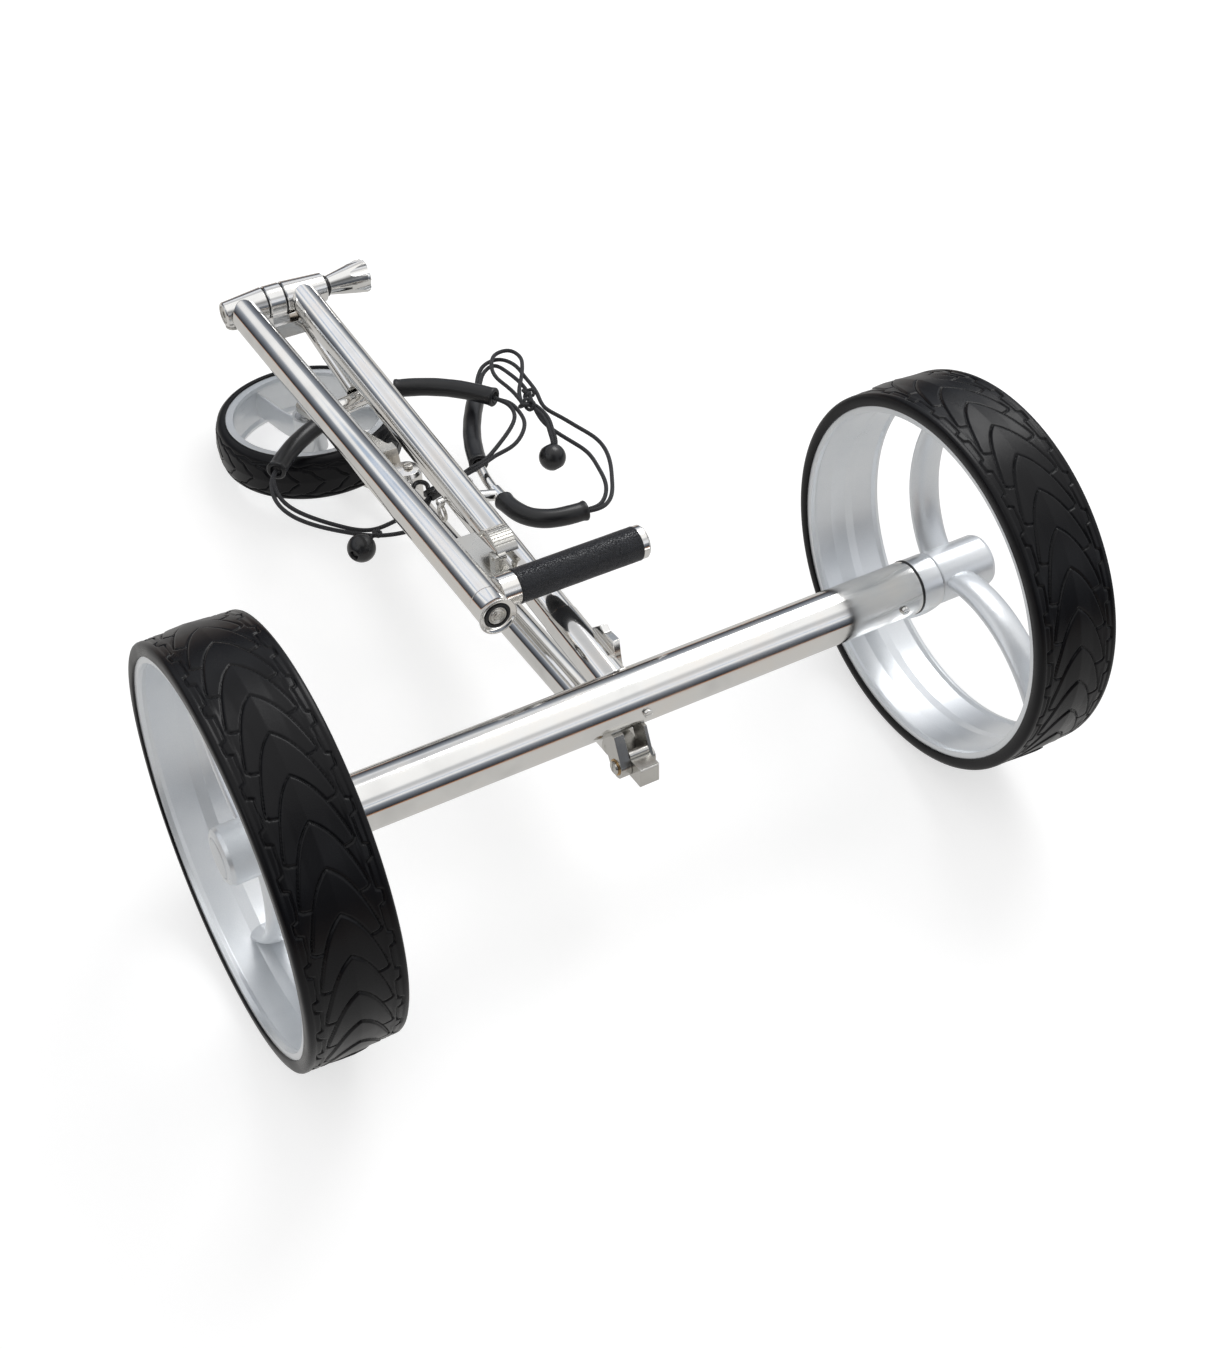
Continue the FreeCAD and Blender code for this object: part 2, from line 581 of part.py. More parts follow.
add("front_rim", front_rim())
half = front_width / 2
add("front_tyre", turned_z([(68.75, -half), (front_side_radius, -half), (76.0, -half + 2.5), (78.0, -half + 9), (front_radius, 0),
                            (78.0, half - 9), (76.0, half - 2.5), (front_side_radius, half), (68.75, half)], front_centre))
bearings = []
for z0 in (front_centre.z + hub_half - 6.9, front_centre.z - hub_half + 0.1):
    ring = Part.makeCylinder(10.98, 6.8, V(front_centre.x, front_centre.y, z0))
    bearings.append(ring.cut(Part.makeCylinder(4.0 + running_gap, 9, V(front_centre.x, front_centre.y, z0 - 1))))
add("front_bearings", group(*bearings))


# ---------------------------------------------------------------- upper bag bracket and its stay

bracket_curve = smooth([(-102, 379, 1), (-87, 395, 1), (-68, 410, 1.5), (-48, 420, 3), (-28, 427, 5.5),
                        (-7, 430, 8.5), (14, 427, 11.5), (33, 418, 13.5), (52, 405, 14.5), (70, 387, 15),
                        (86, 364, 15)])
upper_rod = swept(bracket_curve, rod_radius, 0.03, 0.97)
centre_block = along_x(-31, 17, 0, 0, 7.2)
centre_block.rotate(V(-7, 0, 0), Y_DIR, -8)
centre_block.translate(V(0, 430, 8.5))
stay = rod(stay_top - stay_dir * 3, stay_dir, 6.35, 3 + (stay_end - stay_top).Length)
add("upper_stay_tube", stay.cut(centre_block))
add("upper_bracket_frame", centre_block.fuse(upper_rod).removeSplitter())


def rubber_sleeve(curve, bar, first, last):
    """Sleeve moulded over the end of a bar."""
    return swept(curve, sleeve_radius, first, last).cut(bar)


left_sleeve = rubber_sleeve(bracket_curve, upper_rod, 0.0, 0.335).cut(centre_block)
right_sleeve = rubber_sleeve(bracket_curve, upper_rod, 0.62, 1.0).cut(centre_block)
add("upper_bracket_sleeves", group(left_sleeve, right_sleeve))

upper_cord_path = [(-106, 371, 0.6), (-111, 350, -2), (-108, 322, -5), (-94, 295, -5), (-72, 277, -4), (-42, 270, -2),
                   (-8, 286, 0), (27, 294, 6), (52, 307, 8.5), (77, 325, 9), (94, 343, 11), (92, 354, 14)]
add("upper_bracket_cord", swept(smooth(upper_cord_path), cord_radius))
ball_left = V(-82.0, 261.0, -8.5)


def cord_ball(centre):
    ball = Part.makeSphere(ball_radius, centre)
    return ball.cut(rod(centre, V(0, -0.6, -0.8), 3.6, ball_radius + 1))


add("cord_ball_left", cord_ball(ball_left))
hook_centre = V(-11, 306, -1)
hook = Part.makeTorus(5.2, 1.7, hook_centre, Z_DIR, 0, 360, 250)
add("cord_hook", hook)


# ---------------------------------------------------------------- lower bag bracket

rod_x = 36.5
turn_pin = V(3.0, 266.0, 4.5)
ear_thick = 4.0
ear_gap = 12.0
eye_radius = 6.0
turn_pin_radius = 3.0


def along_main(distance, radius, length):
    """Round bar on the lower bracket's turning line, centred a distance from the turning point."""
    return rod(turn_pin + main_dir * (distance - length / 2), main_dir, radius, length)


def main_tube_ear(distance):
    block = Part.makeBox(16, ear_thick, 20, V(turn_pin.x - 8, turn_pin.y + distance - ear_thick / 2, turn_pin.z))
    ear = block.fuse(along_main(distance, 8.0, ear_thick))
    return ear.cut(along_main(distance, turn_pin_radius + running_gap, 40))


ear_offset = ear_gap / 2 + ear_thick / 2 + 0.75
ears = main_tube_ear(-ear_offset).fuse(main_tube_ear(ear_offset))
ears = ears.cut(rod(on_main(0), main_dir, tube_radius - tube_wall / 2, main_length))
arm_from = turn_pin
arm_to = V(rod_x, turn_pin.y, -5.0)
clamp = along_main(0, eye_radius, ear_gap).fuse(along_main(0, turn_pin_radius, ear_gap + 2 * ear_thick + 2.8))
clamp = clamp.fuse(rod(arm_from, (arm_to - arm_from).normalize(), 4.5, (arm_to - arm_from).Length))
clamp = clamp.fuse(rod(V(rod_x, turn_pin.y - 6, -5.0), Y_DIR, 5.6, 12))
lower_curve = smooth([(85, 212, -5), (69, 213.5, -5), (54, 218, -5), (43, 228, -5), (37.5, 244, -5),
                      (36.5, 262, -5), (37.5, 282, -5), (41, 303, -5), (50, 334, -5), (65, 367, -5), (88, 404, -5)])
lower_rod = swept(lower_curve, rod_radius, 0.04, 0.97)
add("lower_bracket_frame", clamp.fuse(lower_rod).removeSplitter())
near_sleeve = rubber_sleeve(lower_curve, lower_rod, 0.0, 0.33)
far_sleeve = rubber_sleeve(lower_curve, lower_rod, 0.56, 1.0)
add("lower_bracket_sleeves", group(near_sleeve, far_sleeve))
lower_cord_path = [(92, 213, -5.5), (105, 219, -6), (121, 237, -7), (132, 262, -8), (137, 291, -8), (133, 318, -8),
                   (127, 350, -8), (132, 388, -8), (138, 423, -8), (131, 446, -8), (115, 443, -8), (98, 420, -6)]
ball_right = V(104.0, 302.0, -14.0)
ball_leg = [(109.5, 317.5, -10), (114, 338, -8.5), (120.5, 362, -8), (124.3, 382, -8)]
add("lower_bracket_cord", group(swept(smooth(lower_cord_path), cord_radius), swept(smooth(ball_leg), cord_radius)))
add("cord_ball_right", cord_ball(ball_right))


# ---------------------------------------------------------------- folding latch and cord eye

latch_x = (-22.5, -5.5)
latch_pin_y = 150.0
latch_pin_z = 31.0
plate = Part.makeBox(19, 53, 2.2, V(-33.5, 144, 20.0))
ear = Part.makeBox(3.0, 9, 14, V(-26.4, latch_pin_y - 4.5, 20.0))
plate = plate.fuse(ear).cut(rod(on_main(0), main_dir, tube_radius, main_length))
plate = plate.cut(along_x(-30, -20, latch_pin_y, latch_pin_z, 1.5 + running_gap)).removeSplitter()
add("latch_plate", plate)


def thumb_latch():
    """Curled thumb tab with cross ribs, turning on the latch pin."""
    centre_y = 164.0
    centre_z = 26.0
    outer = along_x(latch_x[0], latch_x[1], centre_y, centre_z, 17.0)
    tab = outer.cut(along_x(latch_x[0] - 1, latch_x[1] + 1, centre_y, centre_z, 14.2))
    tab = tab.cut(Part.makeBox(60, 80, 60, V(-45, centre_y - 40, centre_z - 60 + 7.0)))
    ribs = 7
    for i in range(ribs):
        a = math.radians(42 + i * 16.0)
        tab = tab.cut(along_x(latch_x[0] - 1, latch_x[1] + 1, centre_y + 17.6 * math.cos(a),
                              centre_z + 17.6 * math.sin(a), 1.1))
    hub = along_x(latch_x[0], -16.0, latch_pin_y, latch_pin_z, 3.2)
    return tab.fuse(hub).fuse(along_x(-27.4, -18, latch_pin_y, latch_pin_z, 1.5)).removeSplitter()


add("thumb_latch", thumb_latch())

eye_y = 246.0
eye_z = 21.0
eye = Part.makeTorus(6.0, 1.4, V(-20.4, eye_y, eye_z - 10), X_DIR)
eye = eye.fuse(rod(V(-21.6, eye_y, eye_z), X_DIR, 3.4, 2.6))
eye = eye.cut(rod(on_main(0), main_dir, tube_radius + 0.05, main_length))
eye = eye.cut(rod(V(-30, eye_y, eye_z), X_DIR, screw_radius + 0.02, 20)).removeSplitter()
add("cord_eye", eye)
screws.append(frame_screw(V(-15.4, eye_y, eye_z), V(-1, 0, 0), 6.25))
tube = tube.cut(rod(V(-22, eye_y, eye_z), X_DIR, screw_radius + 0.02, 10))
add("main_tube", tube.fuse(ears).removeSplitter())
add("frame_screws", group(*screws))


# ---------------------------------------------------------------- stand it up and write the files

def stand_up(shape):
    copy = shape.copy()
    copy.rotate(V(0, 0, 0), X_DIR, -math.degrees(stand_tilt))
    return copy


standing = {name: stand_up(shape) for name, shape in nodes.items()}
whole = Part.makeCompound(list(standing.values())).optimalBoundingBox(False, False)
origin_shift = V(-(whole.XMin + whole.XMax) / 2, -(whole.YMin + whole.YMax) / 2, -whole.ZMin)

os.makedirs("parts", exist_ok=True)
for name, shape in standing.items():
    shape.translate(origin_shift)
    if not shape.isValid():
        print("not valid:", name)
    shape.exportStep("parts/" + name + ".step")

print("nodes", len(standing))
print("box", round(whole.XLength, 2), round(whole.YLength, 2), round(whole.ZLength, 2))
print("shift", round(origin_shift.x, 4), round(origin_shift.y, 4), round(origin_shift.z, 4))
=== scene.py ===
import json
import math
import bpy
import numpy as np
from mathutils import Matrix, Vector

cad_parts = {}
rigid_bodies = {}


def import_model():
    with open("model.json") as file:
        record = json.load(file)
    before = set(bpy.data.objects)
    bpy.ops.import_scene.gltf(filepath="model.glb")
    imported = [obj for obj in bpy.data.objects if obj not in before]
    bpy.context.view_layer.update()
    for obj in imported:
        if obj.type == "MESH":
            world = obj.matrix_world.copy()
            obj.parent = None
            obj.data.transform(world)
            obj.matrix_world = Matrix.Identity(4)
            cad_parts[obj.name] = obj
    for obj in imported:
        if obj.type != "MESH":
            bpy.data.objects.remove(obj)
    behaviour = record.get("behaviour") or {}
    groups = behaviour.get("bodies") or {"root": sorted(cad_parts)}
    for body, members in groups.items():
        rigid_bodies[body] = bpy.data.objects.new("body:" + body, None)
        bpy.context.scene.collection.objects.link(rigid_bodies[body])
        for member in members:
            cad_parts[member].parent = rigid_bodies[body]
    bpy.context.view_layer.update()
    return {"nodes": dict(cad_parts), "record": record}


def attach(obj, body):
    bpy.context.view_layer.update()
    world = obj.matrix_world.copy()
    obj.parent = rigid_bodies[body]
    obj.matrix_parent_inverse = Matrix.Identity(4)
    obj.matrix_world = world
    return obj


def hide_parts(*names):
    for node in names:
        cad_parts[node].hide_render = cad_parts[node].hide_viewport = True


for leftover in list(bpy.data.objects):
    bpy.data.objects.remove(leftover)

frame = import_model()
NODES = frame["nodes"]

# The pieces below are drawn in millimetres in the trolley's own drawing frame: X along the axle,
# Y from the axle to the folding hinge, Z square to the front wheel. place() stands that drawing on
# the floor in the row frame, in metres.
WHEEL_RADIUS = 145.0
# The front tyre's lowest corner: how far along Y it is, and how far below the axle.
FRONT_CONTACT = (549.0, 57.0)
# The axle's place along Y in the row frame.
AXLE_Y = -206.7129
stand_tilt = math.asin(WHEEL_RADIUS / math.hypot(*FRONT_CONTACT))
stand_tilt -= math.atan2(FRONT_CONTACT[1], FRONT_CONTACT[0])
TILT_COS = math.cos(stand_tilt)
TILT_SIN = math.sin(stand_tilt)


def place(point):
    """A point of the drawing, in metres in the row frame."""
    x, y, z = point
    return (
        x / 1000,
        (y * TILT_COS + z * TILT_SIN + AXLE_Y) / 1000,
        (-y * TILT_SIN + z * TILT_COS + WHEEL_RADIUS) / 1000,
    )


# ---------------------------------------------------------------- mesh helpers

def make_object(name, shape, material, body, replaced, sharp=None):
    """One smooth-shaded piece from (points, faces, uvs), riding on a body in place of a CAD node.

    sharp is the crease angle in degrees.
    """
    points, faces, uvs = shape
    mesh = bpy.data.meshes.new(name)
    mesh.from_pydata([place(p) for p in points], [], faces)
    mesh.polygons.foreach_set("use_smooth", [True] * len(mesh.polygons))
    layer = mesh.uv_layers.new(name="along")
    loops = np.zeros(len(mesh.loops), np.int32)
    mesh.loops.foreach_get("vertex_index", loops)
    layer.data.foreach_set("uv", np.array(uvs, np.float32)[loops].ravel())
    mesh.update()
    if sharp is not None:
        mesh.set_sharp_from_angle(angle=math.radians(sharp))
    piece = bpy.data.objects.new(name, mesh)
    bpy.context.scene.collection.objects.link(piece)
    piece.data.materials.append(material)
    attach(piece, body)
    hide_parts(replaced)


def smooth_path(points, step):
    """Points every step millimetres along the smooth curve through the given points."""
    knots = np.array(points, float)
    gaps = np.linalg.norm(np.diff(knots, axis=0), axis=1)
    at = np.concatenate([[0.0], np.cumsum(gaps)])
    count = len(knots)
    system = np.eye(count)
    right = np.zeros((count, 3))
    for i in range(1, count - 1):
        before, after = gaps[i - 1], gaps[i]
        system[i, i - 1] = before
        system[i, i] = 2 * (before + after)
        system[i, i + 1] = after
        right[i] = 6 * ((knots[i + 1] - knots[i]) / after - (knots[i] - knots[i - 1]) / before)
    bend = np.linalg.solve(system, right)
    where = np.linspace(0, at[-1], max(8, int(at[-1] / step)))
    piece = np.clip(np.searchsorted(at, where, side="right") - 1, 0, count - 2)
    gap = gaps[piece][:, None]
    a = (at[piece + 1] - where)[:, None]
    b = (where - at[piece])[:, None]
    low, high = bend[piece], bend[piece + 1]
    return (
        (low * a**3 + high * b**3) / (6 * gap)
        + (knots[piece] / gap - low * gap / 6) * a
        + (knots[piece + 1] / gap - high * gap / 6) * b
    )


def path_length(path):
    """Distance travelled along the path at each of its points."""
    return np.concatenate([[0.0], np.cumsum(np.linalg.norm(np.diff(path, axis=0), axis=1))])


def sweep(path, rings, sides):
    """Points, faces and uvs of a round bar along a path. Each ring is (distance, radius)."""
    length = path_length(path)
    tangent = np.gradient(path, length, axis=0)
    tangent /= np.linalg.norm(tangent, axis=1)[:, None]
    side = np.cross(tangent[0], (0.0, 0.0, 1.0))
    if np.linalg.norm(side) < 0.1:
        side = np.cross(tangent[0], (1.0, 0.0, 0.0))
    sideways = []
    for direction in tangent:
        side = side - direction * (side @ direction)
        side = side / np.linalg.norm(side)
        sideways.append(side)
    sideways = np.array(sideways)
    points, uvs, travelled = [], [], 0.0
    last = None
    for distance, radius in rings:
        centre = np.array([np.interp(distance, length, path[:, k]) for k in range(3)])
        along = np.array([np.interp(distance, length, tangent[:, k]) for k in range(3)])
        across = np.array([np.interp(distance, length, sideways[:, k]) for k in range(3)])
        along /= np.linalg.norm(along)
        across -= along * (across @ along)
        across /= np.linalg.norm(across)
        third = np.cross(along, across)
        if last is not None:
            travelled += math.hypot(distance - last[0], radius - last[1])
        last = (distance, radius)
        for k in range(sides):
            turn = 2 * math.pi * k / sides
            points.append(centre + radius * (across * math.cos(turn) + third * math.sin(turn)))
            uvs.append((turn, travelled / 1000))
    faces = []
    for ring in range(len(rings) - 1):
        for k in range(sides):
            a = ring * sides + k
            b = ring * sides + (k + 1) % sides
            faces.append((a, b, b + sides, a + sides))
    faces.append(tuple(reversed(range(sides))))
    faces.append(tuple(range(len(points) - sides, len(points))))
    return points, faces, uvs


def joined(*parts):
    """Several (points, faces, uvs) lists as one."""
    points, faces, uvs = [], [], []
    for part_points, part_faces, part_uvs in parts:
        base = len(points)
        points += list(part_points)
        uvs += list(part_uvs)
        faces += [tuple(base + k for k in face) for face in part_faces]
    return points, faces, uvs


CORD_STEP = 1.5


def cord(points, radius, sides=12):
    """A cord along a path with softly rounded ends."""
    path = smooth_path(points, CORD_STEP)
    total = path_length(path)[-1]
    rings = [(0.0, radius * 0.3), (radius * 0.25, radius * 0.8), (radius * 0.7, radius)]
    rings += [(d, radius) for d in np.arange(radius * 0.7 + CORD_STEP, total - radius, CORD_STEP)]
    rings += [(total - radius * 0.25, radius * 0.8), (total, radius * 0.3)]
    return sweep(path, rings, sides)


def turned(profile, centre, direction, sides):
    """A closed lathe shape: profile is (distance along the direction, radius)."""
    along = np.array(direction, float)
    along /= np.linalg.norm(along)
    across = np.cross(along, (0.0, 0.0, 1.0))
    if np.linalg.norm(across) < 0.1:
        across = np.cross(along, (1.0, 0.0, 0.0))
    across /= np.linalg.norm(across)
    third = np.cross(along, across)
    points, uvs, faces = [], [], []
    for distance, radius in profile:
        for k in range(sides):
            turn = 2 * math.pi * k / sides
            offset = across * math.cos(turn) + third * math.sin(turn)
            points.append(np.array(centre) + along * distance + offset * radius)
            uvs.append((turn, distance / 1000))
    count = len(profile)
    for ring in range(count):
        for k in range(sides):
            a = ring * sides + k
            b = ring * sides + (k + 1) % sides
            c = (ring + 1) % count * sides + (k + 1) % sides
            d = (ring + 1) % count * sides + k
            faces.append((a, b, c, d))
    return points, faces, uvs


# ---------------------------------------------------------------- material helpers

class Finish:
    """A node material built around one Principled shader."""

    def __init__(self, name, colour, metallic, roughness):
        self.material = bpy.data.materials.new(name)
        self.material.use_nodes = True
        self.tree = self.material.node_tree
        self.shader = self.tree.nodes["Principled BSDF"]
        self.set("Base Color", (*colour, 1))
        self.set("Metallic", metallic)
        self.set("Roughness", roughness)
        self.where = self.node("ShaderNodeTexCoord").outputs["Object"]

    def node(self, kind, **settings):
        made = self.tree.nodes.new(kind)
        for key, value in settings.items():
            setattr(made, key, value)
        return made

    def set(self, socket, value):
        self.shader.inputs[socket].default_value = value

    def link(self, source, target):
        self.tree.links.new(source, target)

    def stretched(self, scale):
        mapping = self.node("ShaderNodeMapping")
        mapping.inputs["Scale"].default_value = scale
        self.link(self.where, mapping.inputs["Vector"])
        return mapping.outputs["Vector"]

    def noise(self, vector, scale, detail=4.0, rough=0.55):
        texture = self.node("ShaderNodeTexNoise")
        texture.inputs["Scale"].default_value = scale
        texture.inputs["Detail"].default_value = detail
        texture.inputs["Roughness"].default_value = rough
        self.link(vector, texture.inputs["Vector"])
        return texture.outputs["Fac"]

    def cells(self, vector, scale, feature="F1"):
        texture = self.node("ShaderNodeTexVoronoi", feature=feature)
        texture.inputs["Scale"].default_value = scale
        self.link(vector, texture.inputs["Vector"])
        return texture.outputs["Distance"]

    def span(self, value, low, high, out_low, out_high):
        span = self.node("ShaderNodeMapRange", clamp=True)
        span.inputs["From Min"].default_value = low
        span.inputs["From Max"].default_value = high
        span.inputs["To Min"].default_value = out_low
        span.inputs["To Max"].default_value = out_high
        self.link(value, span.inputs["Value"])
        return span.outputs["Result"]

    def maths(self, operation, first, second):
        made = self.node("ShaderNodeMath", operation=operation)
        for socket, value in zip(made.inputs, (first, second)):
            if isinstance(value, (int, float)):
                socket.default_value = value
            else:
                self.link(value, socket)
        return made.outputs["Value"]

    def colours(self, value, stops):
        ramp = self.node("ShaderNodeValToRGB")
        elements = ramp.color_ramp.elements
        while len(elements) < len(stops):
            elements.new(0.5)
        for element, (position, colour) in zip(elements, stops):
            element.position = position
            element.color = (*colour, 1)
        self.link(value, ramp.inputs["Fac"])
        return ramp.outputs["Color"]

    def relief(self, *layers, edge=0.0):
        """Bump from (height, distance) layers over optionally rounded edges."""
        normal = None
        if edge:
            bevel = self.node("ShaderNodeBevel", samples=4)
            bevel.inputs["Radius"].default_value = edge
            normal = bevel.outputs["Normal"]
        for height, distance in layers:
            bump = self.node("ShaderNodeBump")
            bump.inputs["Distance"].default_value = distance
            bump.inputs["Strength"].default_value = 1.0
            self.link(height, bump.inputs["Height"])
            if normal is not None:
                self.link(normal, bump.inputs["Normal"])
            normal = bump.outputs["Normal"]
        self.link(normal, self.shader.inputs["Normal"])


def steel(name, grain_scale, rough_low, rough_high, grain_depth, tint=(0.82, 0.815, 0.80)):
    """Stainless steel with drawn or brushed grain lines, faint smears and small colour drift."""
    finish = Finish(name, tint, 1.0, 0.15)
    grain = finish.noise(finish.stretched(grain_scale), 60.0, 5.0, 0.6)
    smear = finish.noise(finish.where, 22.0, 3.0)
    marks = finish.maths("MULTIPLY", finish.span(smear, 0.35, 0.7, 0.0, 1.0), 0.5)
    mixed = finish.maths("ADD", finish.maths("MULTIPLY", grain, 0.5), marks)
    finish.link(finish.span(mixed, 0.1, 0.8, rough_low, rough_high), finish.shader.inputs["Roughness"])
    darker = tuple(c * 0.86 for c in tint)
    warmer = (min(1.0, tint[0] * 1.05), tint[1], tint[2] * 0.95)
    colour = finish.colours(smear, [(0.25, darker), (0.5, tint), (0.8, warmer)])
    finish.link(colour, finish.shader.inputs["Base Color"])
    nicks = finish.cells(finish.stretched(grain_scale), 140.0)
    finish.relief(
        (grain, grain_depth),
        (finish.span(nicks, 0.0, 0.07, 0.0, 1.0), 0.0000015),
        (finish.noise(finish.where, 40.0, 2.0), 0.00002),
        edge=0.0005,
    )
    return finish.material


def black_solid(name, colour, rough, grain, depth, sheen=0.0, coat=0.0, shine=0.3):
    """Dark rubber or plastic with fine grain, patches of dust and uneven gloss."""
    finish = Finish(name, colour, 0.0, 0.5)
    finish.set("Specular IOR Level", shine)
    finish.set("Sheen Weight", sheen)
    finish.set("Sheen Roughness", 0.45)
    finish.set("Sheen Tint", (0.62, 0.68, 0.85, 1))
    finish.set("Coat Weight", coat)
    finish.set("Coat Roughness", 0.25)
    cloud = finish.noise(finish.where, 28.0, 4.0)
    finish.link(finish.span(cloud, 0.3, 0.75, rough[0], rough[1]), finish.shader.inputs["Roughness"])
    lighter = tuple(min(1.0, c * 1.7 + 0.004) for c in colour)
    dust = finish.colours(cloud, [(0.3, colour), (0.62, colour), (0.85, lighter)])
    finish.link(dust, finish.shader.inputs["Base Color"])
    fine = finish.noise(finish.where, grain, 3.0)
    uneven = finish.noise(finish.where, 70.0, 2.0)
    finish.relief((fine, depth), (uneven, 0.00006), edge=0.0006)
    return finish.material


# Grain runs along the direction whose scale is the smallest.
ALONG_X = (0.1, 1.0, 1.0)
BRUSHED_TINT = (0.62, 0.61, 0.58)
polished_axle = steel("steel_axle", (0.05, 1.0, 1.0), 0.06, 0.18, 0.000006)
polished_tube = steel("steel_tube", (1.0, 0.05, 1.0), 0.04, 0.13, 0.000004)
polished_part = steel("steel_part", (0.5, 0.5, 0.5), 0.06, 0.18, 0.000006)
brushed_part = steel("steel_brushed", (1.6, 0.12, 0.12), 0.16, 0.34, 0.00003, BRUSHED_TINT)
brushed_plate = steel("steel_plate", (0.12, 0.12, 1.6), 0.16, 0.36, 0.00003, BRUSHED_TINT)
aluminium = steel("aluminium_satin", (0.1, 1.2, 1.2), 0.25, 0.42, 0.00002, (0.80, 0.82, 0.84))
bearing = steel("bearing_steel", ALONG_X, 0.2, 0.35, 0.00002, (0.55, 0.56, 0.58))
bronze = steel("bronze_bush", ALONG_X, 0.22, 0.4, 0.00002, (0.56, 0.36, 0.16))
tyre_rubber = black_solid(
    "tyre_rubber", (0.003, 0.003, 0.004), rough=(0.24, 0.38), grain=900.0, depth=0.00004,
    sheen=0.015, shine=0.2,
)
sleeve_rubber = black_solid(
    "sleeve_rubber", (0.004, 0.004, 0.005), rough=(0.26, 0.44), grain=700.0, depth=0.00003,
    sheen=0.05, shine=0.5,
)
plastic = black_solid(
    "plastic_black", (0.007, 0.007, 0.008), rough=(0.2, 0.36), grain=500.0, depth=0.00002,
    coat=0.2, shine=0.45,
)


def silver_lacquer(name, tint):
    """Pale silver lacquer on cast plastic: fine sparkle, orange peel and softly rounded edges."""
    finish = Finish(name, tint, 0.6, 0.34)
    finish.set("Coat Weight", 0.3)
    finish.set("Coat Roughness", 0.12)
    flakes = finish.noise(finish.where, 2600.0, 1.0)
    cloud = finish.noise(finish.where, 16.0, 3.0)
    mixed = finish.maths("ADD", finish.maths("MULTIPLY", flakes, 0.45), finish.maths("MULTIPLY", cloud, 0.55))
    darker = (tint[0] * 0.86, tint[1] * 0.88, tint[2] * 0.9)
    colour = finish.colours(mixed, [(0.3, darker), (0.55, tint), (0.8, (0.84, 0.86, 0.88))])
    finish.link(colour, finish.shader.inputs["Base Color"])
    finish.link(finish.span(mixed, 0.25, 0.8, 0.26, 0.46), finish.shader.inputs["Roughness"])
    finish.relief((flakes, 0.000012), (finish.noise(finish.where, 320.0, 2.0), 0.00004), edge=0.0008)
    return finish.material


rim_silver = silver_lacquer("rim_silver", (0.76, 0.78, 0.80))
cap_silver = silver_lacquer("cap_silver", (0.66, 0.68, 0.70))


def grained_leather():
    """Black leather: raised pebble grain between fine creases, with a low uneven shine."""
    finish = Finish("grip_leather", (0.007, 0.008, 0.011), 0.0, 0.5)
    finish.set("Specular IOR Level", 0.5)
    finish.set("Sheen Weight", 0.04)
    finish.set("Sheen Tint", (0.7, 0.75, 0.9, 1))
    wobble = finish.node("ShaderNodeVectorMath", operation="ADD")
    shaken = finish.node("ShaderNodeTexNoise")
    shaken.inputs["Scale"].default_value = 300.0
    scaled = finish.node("ShaderNodeVectorMath", operation="SCALE")
    scaled.inputs["Scale"].default_value = 0.0016
    finish.link(finish.where, shaken.inputs["Vector"])
    finish.link(shaken.outputs["Color"], scaled.inputs[0])
    finish.link(finish.where, wobble.inputs[0])
    finish.link(scaled.outputs["Vector"], wobble.inputs[1])
    pebble = finish.cells(wobble.outputs["Vector"], 620.0, "DISTANCE_TO_EDGE")
    crease = finish.span(pebble, 0.0, 0.16, 0.0, 1.0)
    cloud = finish.noise(finish.where, 60.0, 4.0)
    finish.link(finish.span(crease, 0.0, 1.0, 0.55, 0.33), finish.shader.inputs["Roughness"])
    # Base colour: painted shade darkens the creases between pebbles, mixed with random tone from the cloud.
    crease_shade_and_tone = finish.maths("ADD", finish.maths("MULTIPLY", crease, 0.4), finish.maths("MULTIPLY", cloud, 0.6))
    stops = [(0.15, (0.002, 0.002, 0.003)), (0.5, (0.006, 0.007, 0.010)), (0.85, (0.014, 0.016, 0.022))]
    finish.link(finish.colours(crease_shade_and_tone, stops), finish.shader.inputs["Base Color"])
    finish.relief((crease, 0.0006), (finish.noise(finish.where, 2200.0, 2.0), 0.00003))
    return finish.material


def braided_cord():
    """Woven elastic cord: two sets of threads crossing round the cord, with loose fuzz."""
    finish = Finish("cord_braid", (0.016, 0.016, 0.018), 0.0, 0.7)
    finish.set("Sheen Weight", 0.12)
    finish.set("Sheen Roughness", 0.5)
    finish.set("Sheen Tint", (0.6, 0.62, 0.7, 1))
    split = finish.node("ShaderNodeSeparateXYZ")
    finish.link(finish.node("ShaderNodeTexCoord").outputs["UV"], split.inputs["Vector"])
    around = finish.maths("MULTIPLY", split.outputs["X"], 6.0)
    along = finish.maths("MULTIPLY", split.outputs["Y"], 3400.0)
    one = finish.maths("SINE", finish.maths("ADD", around, along), 0.0)
    two = finish.maths("SINE", finish.maths("SUBTRACT", around, along), 0.0)
    weave = finish.maths("MAXIMUM", one, two)
    height = finish.span(weave, -0.6, 1.0, 0.0, 1.0)
    # Base colour follows the weave height: painted shade in the hollows between threads, lighter on the
    # crests.
    stops = [(0.0, (0.002, 0.002, 0.003)), (0.6, (0.009, 0.009, 0.010)), (1.0, (0.020, 0.020, 0.023))]
    finish.link(finish.colours(height, stops), finish.shader.inputs["Base Color"])
    finish.link(finish.span(height, 0.0, 1.0, 0.85, 0.55), finish.shader.inputs["Roughness"])
    finish.relief((height, 0.00025), (finish.noise(finish.where, 2500.0, 2.0), 0.00006))
    return finish.material


grip_leather = grained_leather()
cord_braid = braided_cord()

# ---------------------------------------------------------------- finishes of the CAD nodes

